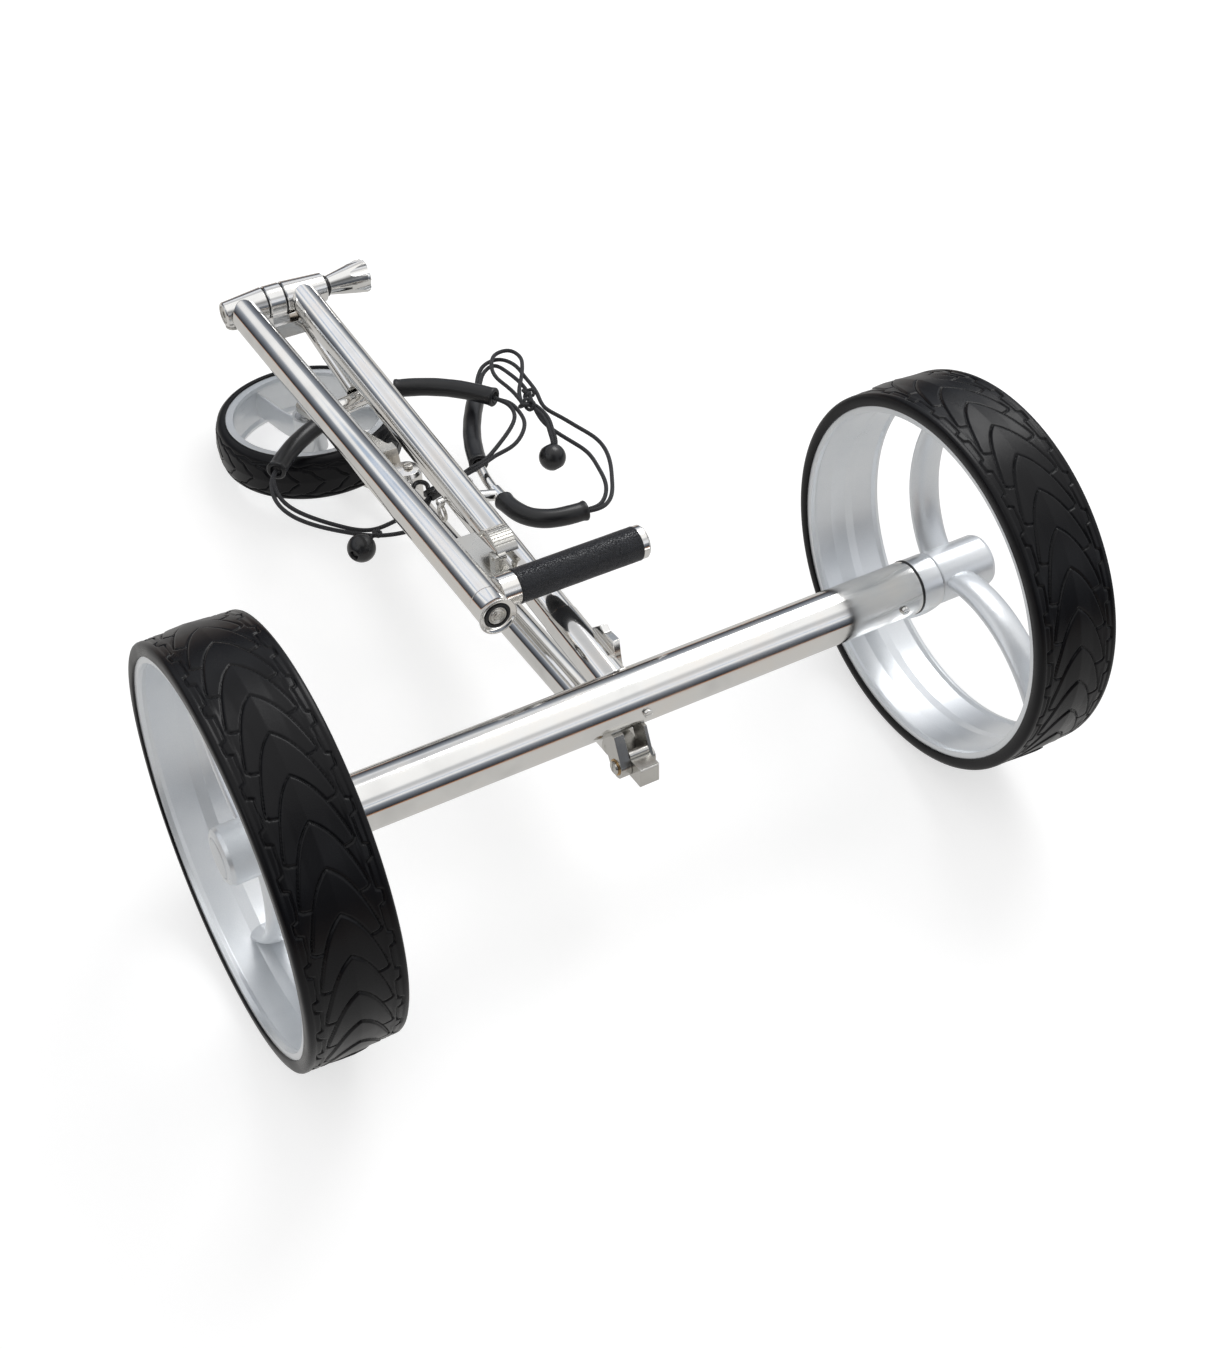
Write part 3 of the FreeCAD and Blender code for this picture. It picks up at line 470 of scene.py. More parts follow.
LOOKS = {
    "axle_tube": polished_axle,
    "axle_end_collars": aluminium,
    "pivot_bushes": bronze,
    "axle_lugs": brushed_plate,
    "arm_pivot_bar": brushed_part,
    "latch_plate": brushed_plate,
    "thumb_latch": brushed_part,
    "front_fork": brushed_plate,
    "bracket_knuckle": polished_part,
    "handle_knuckle": polished_part,
    "frame_knuckle": polished_part,
    "clamp_knob": polished_part,
    "front_arm_head": polished_part,
    "grip_end_cap": polished_part,
    "grip_stub": polished_part,
    "frame_screws": polished_part,
}
LOOKS_OF_SLOT = {
    "stainless_polished": polished_tube,
    "stainless_brushed": brushed_part,
    "aluminium_satin": aluminium,
    "rim_silver": rim_silver,
    "tyre_black": tyre_rubber,
    "rubber_black": sleeve_rubber,
    "leather_black": grip_leather,
    "cord_black": cord_braid,
    "plastic_black": plastic,
    "bronze": bronze,
    "cap_silver": cap_silver,
    "bearing_steel": bearing,
}
slot_of_node = {part["node"]: part["material_slot"] for part in frame["record"]["subparts"]}
for node_name, node_object in NODES.items():
    look = LOOKS.get(node_name) or LOOKS_OF_SLOT[slot_of_node[node_name]]
    node_object.data.materials.clear()
    node_object.data.materials.append(look)

# ---------------------------------------------------------------- tyres with real tread


def groove_distance(u, s, lines):
    """Distance from each (u, s) point to the nearest of the line segments."""
    nearest = np.full(u.shape, 1e9)
    for (u0, s0), (u1, s1) in lines:
        du, ds = u1 - u0, s1 - s0
        share = np.clip(((u - u0) * du + (s - s0) * ds) / (du * du + ds * ds), 0, 1)
        nearest = np.minimum(nearest, np.hypot(u - u0 - share * du, s - s0 - share * ds))
    return nearest


def chain(points):
    """The line segments from each point to the next."""
    return list(zip(points[:-1], points[1:]))


def soft_groove(distance, half_width, depth):
    """Height of a round-bottomed groove at a distance from its middle."""
    share = np.clip(1 - distance / half_width, 0, 1)
    return -depth * share * share * (3 - 2 * share)


LEAF_SLOPE = 0.8
LEAF_CURL = 0.0098
LEAF_POWER = 2.6
LEAF_HALF = 21.5
LEAF_LAYER = 0.8
SHOULDER_DROP = 0.4
RIDGE_SLOPE = 0.055
RIDGE_HALF = 11.0
SHOULDER_LINES = (23.6, 24.4, 27.8, 27.2)
REAR_GROOVE = (0.95, 1.5)
FRONT_GROOVE = (1.15, 1.8)
TREAD_CELL = 0.62
FIRST_REPEAT = -2
LAST_REPEAT = 3


def leaf_drop(u):
    """How far a leaf's edge has fallen behind its tip at a distance u from the middle."""
    return LEAF_SLOPE * u + LEAF_CURL * u**LEAF_POWER


def rear_relief(u, s, pitch):
    """Height of the rear tread: overlapping pointed leaves with stepped shoulder grooves."""
    lines = []
    for repeat in range(FIRST_REPEAT, LAST_REPEAT + 1):
        tip = repeat * pitch
        for side in (-1, 1):
            edge = [(side * w, tip - leaf_drop(w)) for w in np.linspace(0, LEAF_HALF - 0.8, 9)]
            corner_s = tip - leaf_drop(LEAF_HALF)
            edge += [(side * LEAF_HALF, corner_s - 0.8), (side * (LEAF_HALF - 1.6), corner_s - 2.6)]
            edge.append((side * 14.5, corner_s - 3.6))
            lines += chain(edge)
            step_s = corner_s + 0.42 * pitch
            near, lower, far, upper = [side * place_across for place_across in SHOULDER_LINES]
            shoulder = [(near, step_s), (lower, step_s - 0.62 * pitch)]
            shoulder += [(far, step_s - 0.68 * pitch), (upper, step_s - 0.95 * pitch)]
            shoulder.append((near, step_s - pitch))
            lines += chain(shoulder)
    grooves = soft_groove(groove_distance(u, s, lines), *REAR_GROOVE)
    inside = np.abs(u) < LEAF_HALF
    share = np.mod((-leaf_drop(np.minimum(np.abs(u), LEAF_HALF)) - s) / pitch, 1.0)
    layered = np.where(inside, -LEAF_LAYER * share, -SHOULDER_DROP)
    fade = np.clip((LEAF_HALF + 2 - np.abs(u)) / 3, 0, 1)
    ridge = -RIDGE_SLOPE * np.minimum(np.abs(u), RIDGE_HALF) * fade
    return grooves + ridge + layered * fade - SHOULDER_DROP * (1 - fade)


def front_relief(u, s, pitch):
    """Height of the front tread: short chevron cuts between two zigzag shoulder grooves."""
    lines = []
    for repeat in range(FIRST_REPEAT, LAST_REPEAT + 1):
        tip = repeat * pitch
        for side in (-1, 1):
            lines += chain([(side * 1.2, tip), (side * 5.0, tip - 5.5), (side * 9.5, tip - 9.0)])
            lines += chain([(side * 9.5, tip - 9.0), (side * 11.5, tip - 16.0)])
            zig = [(side * 12.8, tip), (side * 15.2, tip - 0.35 * pitch), (side * 12.8, tip - pitch)]
            lines += chain(zig)
    return soft_groove(groove_distance(u, s, lines), *FRONT_GROOVE)


def make_tyre(name, node, body, centre, axis, wall, tread, relief, repeats, samples, forward):
    """A tyre: plain walls from the wall profile, then a tread grid with its relief.

    wall is the (offset, radius) profile of one half from the inner edge out to the tread's edge,
    and tread is the (half width, base radius) profile from the edge to the middle.
    """
    radius = tread[-1][1]
    pitch = 2 * math.pi * radius / repeats
    edge = tread[0][0]
    columns = int(2 * edge / TREAD_CELL)
    across = np.linspace(-edge, edge, columns + 1)
    halves = np.array([t[0] for t in tread][::-1])
    radii = np.array([t[1] for t in tread][::-1])
    base = np.interp(np.abs(across), halves, radii)
    steps = np.arange(samples) / samples * pitch
    u, s = np.meshgrid(across, steps)
    height = relief(u, s, pitch)
    height[:, 0] = 0
    height[:, -1] = 0
    low = [(-o, r) for o, r in wall]
    high = [(o, r) for o, r in reversed(wall)]
    rows = repeats * samples
    points, uvs = [], []
    for row in range(rows):
        turn = 2 * math.pi * row / rows * forward
        spin = (math.cos(turn), math.sin(turn))
        ring = list(low)
        ring += list(zip(across, base + height[row % samples]))
        ring += high
        for offset, r in ring:
            if axis == "x":
                points.append((centre[0] + offset, centre[1] + r * spin[0], centre[2] + r * spin[1]))
            else:
                points.append((centre[0] + r * spin[0], centre[1] + r * spin[1], centre[2] + offset))
            uvs.append((turn, offset / 1000))
    width = len(low) + len(across) + len(high)
    faces = []
    for row in range(rows):
        after = (row + 1) % rows
        for k in range(width):
            k2 = (k + 1) % width
            face = (row * width + k, row * width + k2, after * width + k2, after * width + k)
            faces.append(face if forward > 0 else tuple(reversed(face)))
    if axis == "x":
        faces = [tuple(reversed(f)) for f in faces]
    make_object(name, (points, faces, uvs), tyre_rubber, body, node)


REAR_MID = 268.0
REAR_WALL = [
    (32.6, 134.1), (33.0, 134.5), (33.0, 139.6), (32.7, 141.2), (31.9, 142.5), (30.9, 143.0), (29.4, 143.1),
]
REAR_TREAD = [(28.6, 143.1), (26.0, 143.4), (19.0, 144.2), (8.0, 144.75), (0.0, 145.0)]
REAR_REPEATS = 32
REAR_SAMPLES = 38
for side_name, side_sign in (("left", -1), ("right", 1)):
    make_tyre(
        "tyre_tread_" + side_name, "rear_tyre_" + side_name, "rear_wheel_" + side_name,
        (side_sign * REAR_MID, 0.0, 0.0), "x", REAR_WALL, REAR_TREAD, rear_relief,
        REAR_REPEATS, REAR_SAMPLES, -1,
    )

FRONT_CENTRE = (-35.5, 476.0, -37.0)
FRONT_WALL = [(19.6, 68.8), (20.0, 69.2), (20.0, 72.2), (19.6, 73.2), (18.9, 74.2)]
FRONT_TREAD = [(18.4, 74.9), (17.0, 76.1), (11.0, 78.0), (0.0, 79.0)]
FRONT_REPEATS = 24
FRONT_SAMPLES = 28
make_tyre(
    "tyre_tread_front", "front_tyre", "front_wheel", FRONT_CENTRE, "z",
    FRONT_WALL, FRONT_TREAD, front_relief, FRONT_REPEATS, FRONT_SAMPLES, 1,
)

# ---------------------------------------------------------------- grip and handle end

GRIP_Y = 100.0
GRIP_Z = 41.6
GRIP_START = -34.0
GRIP_LENGTH = 97.4
GRIP_RADIUS = 12.8
GRIP_BORE = 12.05


def grip_profile():
    """Outer skin with rolled lips and a very slight waviness, closed along the bore by turned()."""
    profile = [(0.0, GRIP_BORE), (0.0, 12.3), (0.25, 12.6), (0.8, GRIP_RADIUS)]
    for share in np.linspace(0.02, 0.98, 40):
        swell = 0.10 * math.sin(9 * share) * math.sin(23 * share)
        profile.append((GRIP_LENGTH * share, GRIP_RADIUS - 0.1 + swell * 0.5))
    profile += [(GRIP_LENGTH - 0.8, GRIP_RADIUS), (GRIP_LENGTH - 0.25, 12.6), (GRIP_LENGTH, 12.3)]
    profile.append((GRIP_LENGTH, GRIP_BORE))
    return profile


HANDLE_SLOPE = math.radians(1.68)
HANDLE_END = (-58.0, 84.0, 39.54)
HANDLE_OUT = (0.0, -math.cos(HANDLE_SLOPE), -math.sin(HANDLE_SLOPE))
BEZEL_PROFILE = [
    (-13.5, 12.72), (-13.4, 12.78), (-13.1, 12.8), (-12.7, 12.8), (0.2, 12.8), (1.0, 12.85),
    (2.4, 13.2), (3.9, 13.9), (4.7, 14.4),
    (5.1, 14.4), (5.3, 14.0), (5.0, 13.2), (4.4, 12.3), (4.0, 11.3), (3.9, 10.2), (3.6, 9.7), (-5.0, 9.65),
]
BUTTON_PROFILE = [
    (-5.0, 0.1), (-5.0, 7.0), (3.3, 7.0), (4.0, 6.85), (4.4, 6.4), (4.3, 5.95), (3.5, 5.8), (3.5, 5.5),
    (4.3, 5.3), (4.9, 4.6), (5.1, 3.8), (4.8, 3.5), (4.2, 3.4), (4.2, 3.2), (4.8, 3.0), (5.1, 2.2),
    (5.2, 0.1),
]
make_object(
    "handle_end_ring", turned(BEZEL_PROFILE, HANDLE_END, HANDLE_OUT, 96), polished_tube,
    "handle", "handle_end_bezel",
)
make_object(
    "handle_end_button", turned(BUTTON_PROFILE, HANDLE_END, HANDLE_OUT, 72), brushed_part,
    "handle_button_unit", "handle_button",
)
make_object(
    "grip_skin", turned(grip_profile(), (GRIP_START, GRIP_Y, GRIP_Z), (1, 0, 0), 96), grip_leather,
    "handle", "grip_sleeve",
)

# ---------------------------------------------------------------- thumb latch

LATCH_X = (-22.5, -5.5)
LATCH_CENTRE = (164.0, 26.0)
LATCH_OUTER = 17.0
LATCH_INNER = 14.2
LATCH_SPAN = (24.5, 155.5)
LATCH_PIN = (150.0, 31.0)
LATCH_GROOVES = [46.0 + 9.5 * k for k in range(10)]
LATCH_GROOVE_HALF = 1.3
LATCH_GROOVE_DEPTH = 0.9


def latch_tab():
    """The curled tab: an arc of plate whose back is cut by square grooves along the axle's direction."""
    angles = np.arange(LATCH_SPAN[0], LATCH_SPAN[1] + 0.1, 0.5)
    stations = [(LATCH_X[0], 0.35), (LATCH_X[0] + 0.35, 0.0), (LATCH_X[0] + 1.6, 0.0)]
    stations += [(LATCH_X[1] - 0.35, 0.0), (LATCH_X[1], 0.35)]
    points, faces = [], []
    for index, (x, inset) in enumerate(stations):
        for radius, grooved in ((LATCH_OUTER - inset, index >= 2), (LATCH_INNER + inset, False)):
            for angle in angles:
                cut = grooved and any(abs(angle - g) < LATCH_GROOVE_HALF for g in LATCH_GROOVES)
                r = radius - LATCH_GROOVE_DEPTH if cut else radius
                y = LATCH_CENTRE[0] + r * math.cos(math.radians(angle))
                z = LATCH_CENTRE[1] + r * math.sin(math.radians(angle))
                points.append((x, y, z))
    count = len(angles)
    ring = 2 * count
    for station in range(len(stations) - 1):
        base = station * ring
        for k in range(count - 1):
            faces.append((base + k, base + k + 1, base + ring + k + 1, base + ring + k))
            low = base + count
            faces.append((low + k + 1, low + k, low + ring + k, low + ring + k + 1))
        faces.append((base, base + ring, base + ring + count, base + count))
        end = base + count - 1
        faces.append((end, end + count, end + ring + count, end + ring))
    for base, flip in ((0, False), ((len(stations) - 1) * ring, True)):
        for k in range(count - 1):
            face = (base + k, base + count + k, base + count + k + 1, base + k + 1)
            faces.append(tuple(reversed(face)) if flip else face)
    return points, faces, [(0.0, 0.0)] * len(points)


HUB_PROFILE = [(0.0, 0.1), (0.0, 2.8), (0.4, 3.2), (6.1, 3.2), (6.5, 2.8), (6.5, 0.1)]
PIN_PROFILE = [(0.0, 0.1), (0.0, 1.2), (0.3, 1.5), (9.4, 1.5), (9.4, 0.1)]
PIN_START_X = -27.4
latch_shape = joined(
    latch_tab(),
    turned(HUB_PROFILE, (LATCH_X[0], *LATCH_PIN), (1, 0, 0), 40),
    turned(PIN_PROFILE, (PIN_START_X, *LATCH_PIN), (1, 0, 0), 32),
)
make_object("latch_tab", latch_shape, brushed_part, "latch", "thumb_latch", sharp=30)

# ---------------------------------------------------------------- rubber sleeves on the brackets

SLEEVE_RADIUS = 7.5
UPPER_CURVE = [
    (-102, 379, 1), (-87, 395, 1), (-68, 410, 1.5), (-48, 420, 3), (-28, 427, 5.5), (-7, 430, 8.5),
    (14, 427, 11.5), (33, 418, 13.5), (52, 405, 14.5), (70, 387, 15), (86, 364, 15),
]
LOWER_CURVE = [
    (85, 212, -5), (69, 213.5, -5), (54, 218, -5), (43, 228, -5), (37.5, 244, -5), (36.5, 262, -5),
    (37.5, 282, -5), (41, 303, -5), (50, 334, -5), (65, 367, -5), (88, 404, -5),
]


def rubber_sleeve(curve, first, last):
    """Sleeve along part of a curve, with a flared lip round a short open mouth at each end."""
    path = smooth_path(curve, 1.0)
    total = path_length(path)[-1]
    start, end = first * total, last * total
    mouth = [(5.0, 0.2), (5.0, 4.5), (0.9, 4.7), (0.1, 5.3), (0.0, 6.4), (0.4, 7.4), (1.2, 8.0), (2.4, 7.9)]
    rings = [(start + d, r) for d, r in mouth]
    for distance in np.arange(start + 4.2, end - 3.8, 2.0):
        rings.append((distance, SLEEVE_RADIUS - 0.06 * (1 + math.sin(distance * 0.31))))
    rings += [(end - d, r) for d, r in reversed(mouth)]
    return sweep(path, rings, 40)


# Each bracket's curve, and the shares of it at which its first sleeve ends and its second begins.
BRACKETS = (("upper", UPPER_CURVE, 0.335, 0.62), ("lower", LOWER_CURVE, 0.33, 0.56))
for level, curve, first_end, second_start in BRACKETS:
    make_object(
        level + "_sleeves",
        joined(rubber_sleeve(curve, 0.0, first_end), rubber_sleeve(curve, second_start, 1.0)),
        sleeve_rubber, level + "_bracket", level + "_bracket_sleeves",
    )

# ---------------------------------------------------------------- elastic cords, balls and hook

CORD_RADIUS = 1.7
KNOT_CORD = 1.5


def knot(centre, size, tilt):
    """A small tied lump of cord: a closed trefoil."""
    path = []
    for t in np.linspace(0, 2 * math.pi, 49):
        x = size * (math.sin(t) + 2 * math.sin(2 * t))
        y = size * (math.cos(t) - 2 * math.cos(2 * t))
        z = size * 1.1 * -math.sin(3 * t)
        c, s = math.cos(tilt), math.sin(tilt)
        path.append((centre[0] + x * c - y * s, centre[1] + x * s + y * c, centre[2] + z))
    return cord(path, KNOT_CORD, 10)


LOWER_OUTER = [
    (86, 401, -5), (90, 407, -5), (97, 421, -5), (108, 437, -5), (118, 445, -5), (127, 445, -4),
    (135, 430, -2), (133, 404, 0), (129, 373, 0), (125, 350, -1), (130, 337, -3), (137, 320, -6),
    (143, 298, -8), (139, 272, -9), (126, 244, -9), (104, 214, -7), (92, 209, -5), (83, 211, -5),
]
LOWER_INNER = [
    (86, 401, -4), (92, 408, -3), (101, 421, -3), (112, 434, -4), (121, 439, -5), (125, 420, -2),
    (125, 397, 0), (123, 380, 1), (118, 359, 0), (115, 330, -3), (118, 320, -5), (123, 305, -7),
    (127, 287, -8), (124, 263, -8), (116, 236, -8), (101, 217, -7), (92, 212, -5), (83, 213, -5),
]
TOP_LOOP = [
    (108, 359, 3), (116, 380, 3), (127, 397, 3), (137, 414, 3), (143, 434, 2), (139, 444, 2),
    (130, 445, 2), (119, 435, 3), (109, 406, 4), (110, 390, 4), (110, 373, 4), (109, 358, 3),
]
BALL_CORD_RIGHT = [
    (112, 360, 3), (114, 356, 2), (116, 346, 1), (116, 334, -1), (112, 320, -3), (108, 308, -7),
    (104, 302, -13),
]
# The second strand to the right ball runs beside the first and ends with it.
BALL_CORD_TWIN = [(x + 3.2, y + 1.0, z) for x, y, z in BALL_CORD_RIGHT[:-1]] + BALL_CORD_RIGHT[-1:]
lower_cords = joined(
    cord(LOWER_OUTER, CORD_RADIUS), cord(LOWER_INNER, CORD_RADIUS), cord(TOP_LOOP, CORD_RADIUS),
    cord(BALL_CORD_RIGHT, CORD_RADIUS), cord(BALL_CORD_TWIN, CORD_RADIUS),
    knot((112, 358, 3), 2.2, 0.4), knot((122, 376, 1), 1.7, 1.3),
)
make_object(
    "lower_cord_braid", lower_cords, cord_braid, "lower_bracket", "lower_bracket_cord",
)

UPPER_RIGHT_ONE = [
    (-9, 292, -1), (4, 290, 0), (21, 296, 2), (27, 297, 4), (39, 298, 6), (54, 306, 7), (69, 317, 8),
    (82, 328, 9), (92, 343, 10), (92, 355, 12), (87, 362, 14), (84, 366, 15),
]
UPPER_RIGHT_TWO = [
    (-10, 287, -1), (6, 287, 0), (22, 294, 2), (29, 295, 3), (39, 296, 5), (54, 302, 5), (69, 305, 6),
    (83, 314, 7), (93, 327, 8), (97, 345, 9), (94, 356, 12), (88, 361, 14), (85, 367, 15),
]
UPPER_LEFT_ONE = [
    (-100, 381, 1), (-104, 377, 1), (-110, 361, -3), (-109, 341, -6), (-99, 317, -7), (-85, 293, -6),
    (-66, 275, -5), (-47, 274, -3), (-33, 276, -2), (-20, 281, -1), (-10, 288, -1),
]
UPPER_LEFT_TWO = [
    (-101, 380, 1), (-106, 375, 0), (-114, 357, -4), (-112, 330, -7), (-98, 304, -8), (-83, 284, -7),
    (-67, 268, -6), (-51, 260, -5), (-41, 258, -4), (-26, 270, -3), (-12, 286, -2),
]
BALL_LEFT = (-82.0, 262.5, -8.5)
BALL_RIGHT = (104.0, 302.0, -14.0)
BALL_CORD_LEFT = [(-62, 273, -5), (-68, 270, -6), (-75, 266, -7), (-83, 262, -9)]
upper_cords = joined(
    cord(UPPER_RIGHT_ONE, CORD_RADIUS), cord(UPPER_RIGHT_TWO, CORD_RADIUS),
    cord(UPPER_LEFT_ONE, CORD_RADIUS), cord(UPPER_LEFT_TWO, CORD_RADIUS),
    cord(BALL_CORD_LEFT, CORD_RADIUS), knot((-66, 270, -6), 1.2, 0.9),
)
make_object(
    "upper_cord_braid", upper_cords, cord_braid, "upper_bracket", "upper_bracket_cord",
)

BALL_RADIUS = 11.0
BORE_RADIUS = 3.4
PLUG_PROFILE = [(-7.0, 0.1), (-7.0, 2.0), (-5.0, 2.8), (7.2, 2.8), (8.2, 1.8), (8.4, 0.1)]


def ball_profile():
    """Half outline of a ball with a lipped bore right through it."""
    mouth = math.asin((BORE_RADIUS + 1.1) / BALL_RADIUS)
    outline = []
    for turn in np.linspace(mouth, math.pi - mouth, 26):
        outline.append((-BALL_RADIUS * math.cos(turn), BALL_RADIUS * math.sin(turn)))
    flat = BALL_RADIUS * math.cos(mouth)
    lip, waist = BORE_RADIUS + 0.6, BORE_RADIUS - 0.5
    outline += [(flat - 0.1, lip), (flat - 0.7, BORE_RADIUS), (flat - 6.0, waist)]
    outline += [(-flat + 6.0, waist), (-flat + 0.7, BORE_RADIUS), (-flat + 0.1, lip)]
    return outline


BALLS = (
    ("ball_left", BALL_LEFT, (-0.87, -0.49, -0.06), "upper_bracket", "cord_ball_left"),
    ("ball_right", BALL_RIGHT, (0.12, -0.72, -0.68), "lower_bracket", "cord_ball_right"),
)
for ball_name, ball_centre, ball_axis, ball_body, ball_node in BALLS:
    ball_shape = joined(
        turned(ball_profile(), ball_centre, ball_axis, 64), turned(PLUG_PROFILE, ball_centre, ball_axis, 16),
    )
    make_object(ball_name, ball_shape, plastic, ball_body, ball_node)

HOOK_PATH = [(-19, 302, 0), (-16, 306, 0), (-12, 307.5, 0), (-8.5, 305, 0), (-8, 299, 0), (-10, 294, 0)]
HOOK_RADIUS = 1.9


CORNER_STEPS = 4
BLOCK_EDGE = 0.8
BLOCK_TURN = 0.3


def rounded_block(centre, half, radius, turn):
    """A small moulded block with rounded edges, turned about Z."""
    points, faces = [], []
    outline = []
    for quarter in range(4):
        cx = (half[0] - radius) * (1 if quarter in (0, 3) else -1)
        cy = (half[1] - radius) * (1 if quarter in (0, 1) else -1)
        for k in range(CORNER_STEPS + 1):
            angle = math.radians(90 * quarter + 90 * k / CORNER_STEPS)
            outline.append((cx, cy, math.cos(angle), math.sin(angle)))
    levels = [(-half[2], radius * 0.3), (-half[2] + radius * 0.3, radius * 0.9), (-half[2] + radius, radius)]
    levels += [(half[2] - radius, radius), (half[2] - radius * 0.3, radius * 0.9), (half[2], radius * 0.3)]
    c, s = math.cos(turn), math.sin(turn)
    for z, reach in levels:
        for cx, cy, dx, dy in outline:
            x, y = cx + dx * reach, cy + dy * reach
            points.append((centre[0] + x * c - y * s, centre[1] + x * s + y * c, centre[2] + z))
    count = len(outline)
    for level in range(len(levels) - 1):
        for k in range(count):
            a = level * count + k
            b = level * count + (k + 1) % count
            faces.append((a, b, b + count, a + count))
    faces.append(tuple(reversed(range(count))))
    faces.append(tuple(range(len(points) - count, len(points))))
    return points, faces, [(0.0, 0.0)] * len(points)


# Centre and half size of each moulded block at the hook's foot.
HOOK_BLOCKS = (
    ((-9.5, 291, -0.5), (5.5, 2.6, 2.4)),
    ((-7.5, 285.5, -0.5), (5.5, 2.2, 2.4)),
    ((-8.5, 288, -0.5), (3.0, 3.5, 1.9)),
)
hook_shape = joined(
    cord(HOOK_PATH, HOOK_RADIUS, 16),
    *[rounded_block(centre, half, BLOCK_EDGE, BLOCK_TURN) for centre, half in HOOK_BLOCKS],
)
make_object("hook_clip", hook_shape, plastic, "upper_bracket", "cord_hook")

# ---------------------------------------------------------------- floor, light and camera

floor_mesh = bpy.data.meshes.new("floor")
FLOOR_HALF = 2.0
corners = [(-FLOOR_HALF, -FLOOR_HALF, 0), (FLOOR_HALF, -FLOOR_HALF, 0)]
corners += [(FLOOR_HALF, FLOOR_HALF, 0), (-FLOOR_HALF, FLOOR_HALF, 0)]
floor_mesh.from_pydata(corners, [], [(0, 1, 2, 3)])
floor = bpy.data.objects.new("floor", floor_mesh)
bpy.context.scene.collection.objects.link(floor)
floor_finish = Finish("floor_paper", (0.6, 0.6, 0.6), 0.0, 0.9)
paper = floor_finish.noise(floor_finish.where, 3.0, 2.0)
floor_finish.link(
    floor_finish.colours(paper, [(0.3, (0.59, 0.59, 0.59)), (0.7, (0.61, 0.61, 0.61))]),
    floor_finish.shader.inputs["Base Color"],
)
floor_finish.set("Specular IOR Level", 0.1)
floor_finish.set("Emission Color", (1, 1, 1, 1))
floor_finish.set("Emission Strength", 0.58)
dim_floor = floor_finish.node("ShaderNodeEmission")
dim_floor.inputs["Color"].default_value = (1, 0.985, 0.96, 1)
dim_floor.inputs["Strength"].default_value = 0.6
floor_ray = floor_finish.node("ShaderNodeLightPath")
floor_mix = floor_finish.node("ShaderNodeMixShader")
floor_finish.link(floor_ray.outputs["Is Glossy Ray"], floor_mix.inputs["Fac"])
floor_finish.link(floor_finish.shader.outputs["BSDF"], floor_mix.inputs[1])
floor_finish.link(dim_floor.outputs["Emission"], floor_mix.inputs[2])
floor_finish.link(floor_mix.outputs["Shader"], floor_finish.tree.nodes["Material Output"].inputs["Surface"])
floor.data.materials.append(floor_finish.material)

scene = bpy.context.scene
world = bpy.data.worlds.new("studio")
world.use_nodes = True
scene.world = world
sky = world.node_tree
for old in list(sky.nodes):
    sky.nodes.remove(old)


def sky_node(kind, **settings):
    """A new node of the world's tree."""
    made = sky.nodes.new(kind)
    for key, value in settings.items():
        setattr(made, key, value)
    return made


def sky_range(source, low, high, out_low, out_high, kind="LINEAR"):
    """The source's value from low to high, clamped and spread from out_low to out_high."""
    made = sky_node("ShaderNodeMapRange", clamp=True, interpolation_type=kind)
    made.inputs["From Min"].default_value = low
    made.inputs["From Max"].default_value = high
    made.inputs["To Min"].default_value = out_low
    made.inputs["To Max"].default_value = out_high
    sky.links.new(source, made.inputs["Value"])
    return made.outputs["Result"]


def sky_light(strength):
    """A white light of the given strength."""
    made = sky_node("ShaderNodeBackground")
    made.inputs["Color"].default_value = (1, 1, 1, 1)
    made.inputs["Strength"].default_value = strength
    return made


def sky_mix(share, first, second):
    """The first shader where share is 0 and the second where it is 1."""
    made = sky_node("ShaderNodeMixShader")
    sky.links.new(share, made.inputs["Fac"])
    sky.links.new(first, made.inputs[1])
    sky.links.new(second, made.inputs[2])
    return made.outputs["Shader"]


# Glossy rays see bands of dark wall and bright soft box stacked by height, lifted a little towards
# +X. All other rays see even white.
SKY_STOPS = [
    (0.0, (0.5, 0.5, 0.5)), (0.45, (0.60, 0.58, 0.55)), (0.466, (0.50, 0.24, 0.11)),
    (0.484, (0.42, 0.20, 0.10)), (0.494, (0.02, 0.02, 0.025)), (0.54, (0.05, 0.055, 0.065)),
    (0.60, (0.12, 0.13, 0.15)), (0.66, (0.21, 0.23, 0.27)), (0.695, (0.36, 0.39, 0.43)),
    (0.715, (0.85, 0.85, 0.86)), (0.752, (1.0, 1.0, 1.0)), (0.766, (0.38, 0.48, 0.64)),
    (0.785, (0.95, 0.96, 1.0)), (0.84, (0.62, 0.62, 0.63)), (0.88, (0.55, 0.56, 0.58)),
    (0.92, (1.0, 1.0, 1.0)), (1.0, (1.0, 1.0, 1.0)),
]
DARK_SIDE = (-0.42, -0.70, 0.57)
GLOSSY_STRENGTH = 1.1
EVEN_STRENGTH = 0.62
direction = sky_node("ShaderNodeTexCoord")
parts_of = sky_node("ShaderNodeSeparateXYZ")
sky.links.new(direction.outputs["Generated"], parts_of.inputs["Vector"])
lifted = sky_node("ShaderNodeMath", operation="ADD")
sky.links.new(parts_of.outputs["Z"], lifted.inputs[0])
sky.links.new(sky_range(parts_of.outputs["X"], 0.45, 0.8, 0.0, 0.3), lifted.inputs[1])
bands = sky_node("ShaderNodeValToRGB")
band_stops = bands.color_ramp.elements
while len(band_stops) < len(SKY_STOPS):
    band_stops.new(0.5)
for stop, (position, colour) in zip(band_stops, SKY_STOPS):
    stop.position = position
    stop.color = (*colour, 1)
sky.links.new(sky_range(lifted.outputs["Value"], -1.0, 1.0, 0.0, 1.0), bands.inputs["Fac"])

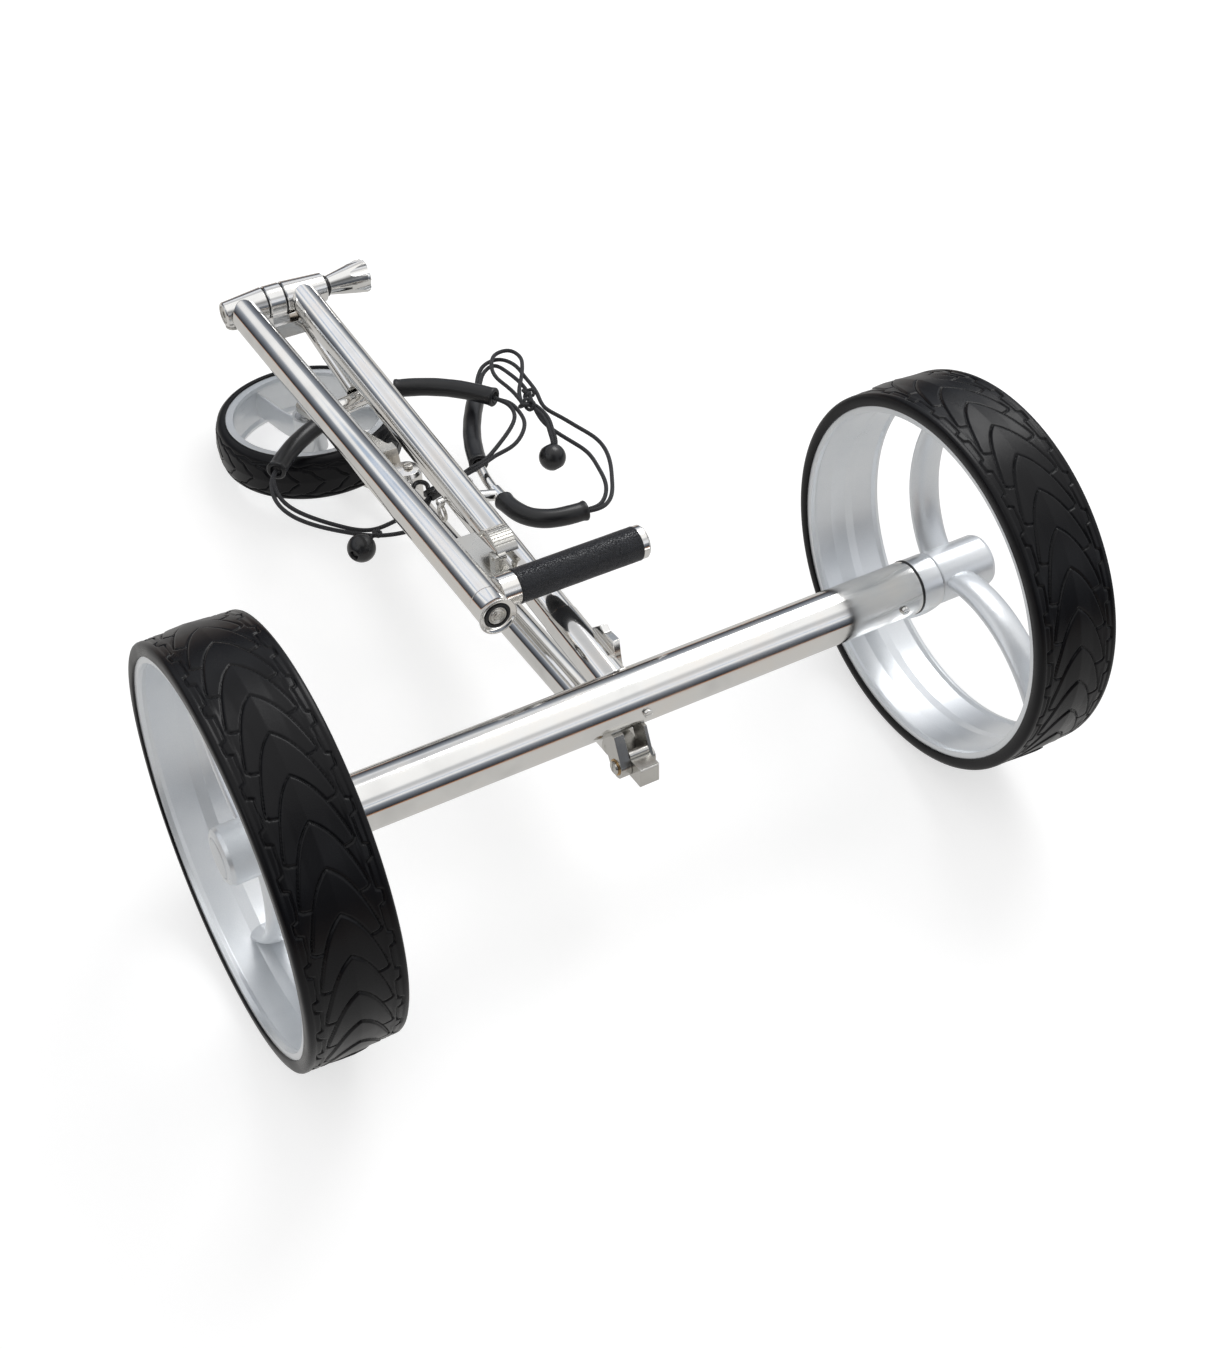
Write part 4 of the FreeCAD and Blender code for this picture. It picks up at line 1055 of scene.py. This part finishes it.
# The side of the studio that the camera stands on is dark, as a soft round patch.
facing = sky_node("ShaderNodeVectorMath", operation="DOT_PRODUCT")
facing.inputs[1].default_value = DARK_SIDE
sky.links.new(direction.outputs["Generated"], facing.inputs[0])
patch = sky_range(facing.outputs["Value"], 0.72, 0.97, 1.0, 0.16, "SMOOTHSTEP")
dimmed = sky_node("ShaderNodeVectorMath", operation="SCALE")
sky.links.new(bands.outputs["Color"], dimmed.inputs[0])
sky.links.new(patch, dimmed.inputs["Scale"])
glossy_light = sky_light(GLOSSY_STRENGTH)
sky.links.new(dimmed.outputs["Vector"], glossy_light.inputs["Color"])

ray_kind = sky_node("ShaderNodeLightPath")
seen_by_objects = sky_mix(
    ray_kind.outputs["Is Glossy Ray"],
    sky_light(EVEN_STRENGTH).outputs["Background"], glossy_light.outputs["Background"],
)
seen = sky_mix(
    ray_kind.outputs["Is Camera Ray"], seen_by_objects, sky_light(1.0).outputs["Background"],
)
sky_output = sky_node("ShaderNodeOutputWorld")
sky.links.new(seen, sky_output.inputs["Surface"])


BOX_TARGET = (0, 0, 0.1)


def soft_box(name, location, size, power):
    """A rectangular lamp that points at the middle of the trolley."""
    light = bpy.data.lights.new(name, "AREA")
    light.shape = "RECTANGLE"
    light.size, light.size_y = size
    light.energy = power
    box = bpy.data.objects.new(name, light)
    box.location = location
    box.rotation_euler = (Vector(BOX_TARGET) - Vector(location)).to_track_quat("-Z", "Y").to_euler()
    bpy.context.scene.collection.objects.link(box)


soft_box("key_box", (1.3, 0.9, 2.2), (1.3, 1.3), 24.0)
soft_box("fill_box", (-1.8, -1.0, 1.9), (1.0, 1.6), 4.0)

CAMERA_PLACE = (-0.50225, -0.92946, 1.14119)
CAMERA_TURN = (41.9048, -3.4569, -29.8010)
CAMERA_LENS = 52.27
camera_data = bpy.data.cameras.new("camera")
camera_data.lens = CAMERA_LENS
camera_data.sensor_width = 36.0
camera_data.clip_start = 0.05
camera = bpy.data.objects.new("camera", camera_data)
camera.location = CAMERA_PLACE
camera.rotation_euler = [math.radians(a) for a in CAMERA_TURN]
bpy.context.scene.collection.objects.link(camera)
scene.camera = camera
scene.view_settings.view_transform = "Standard"
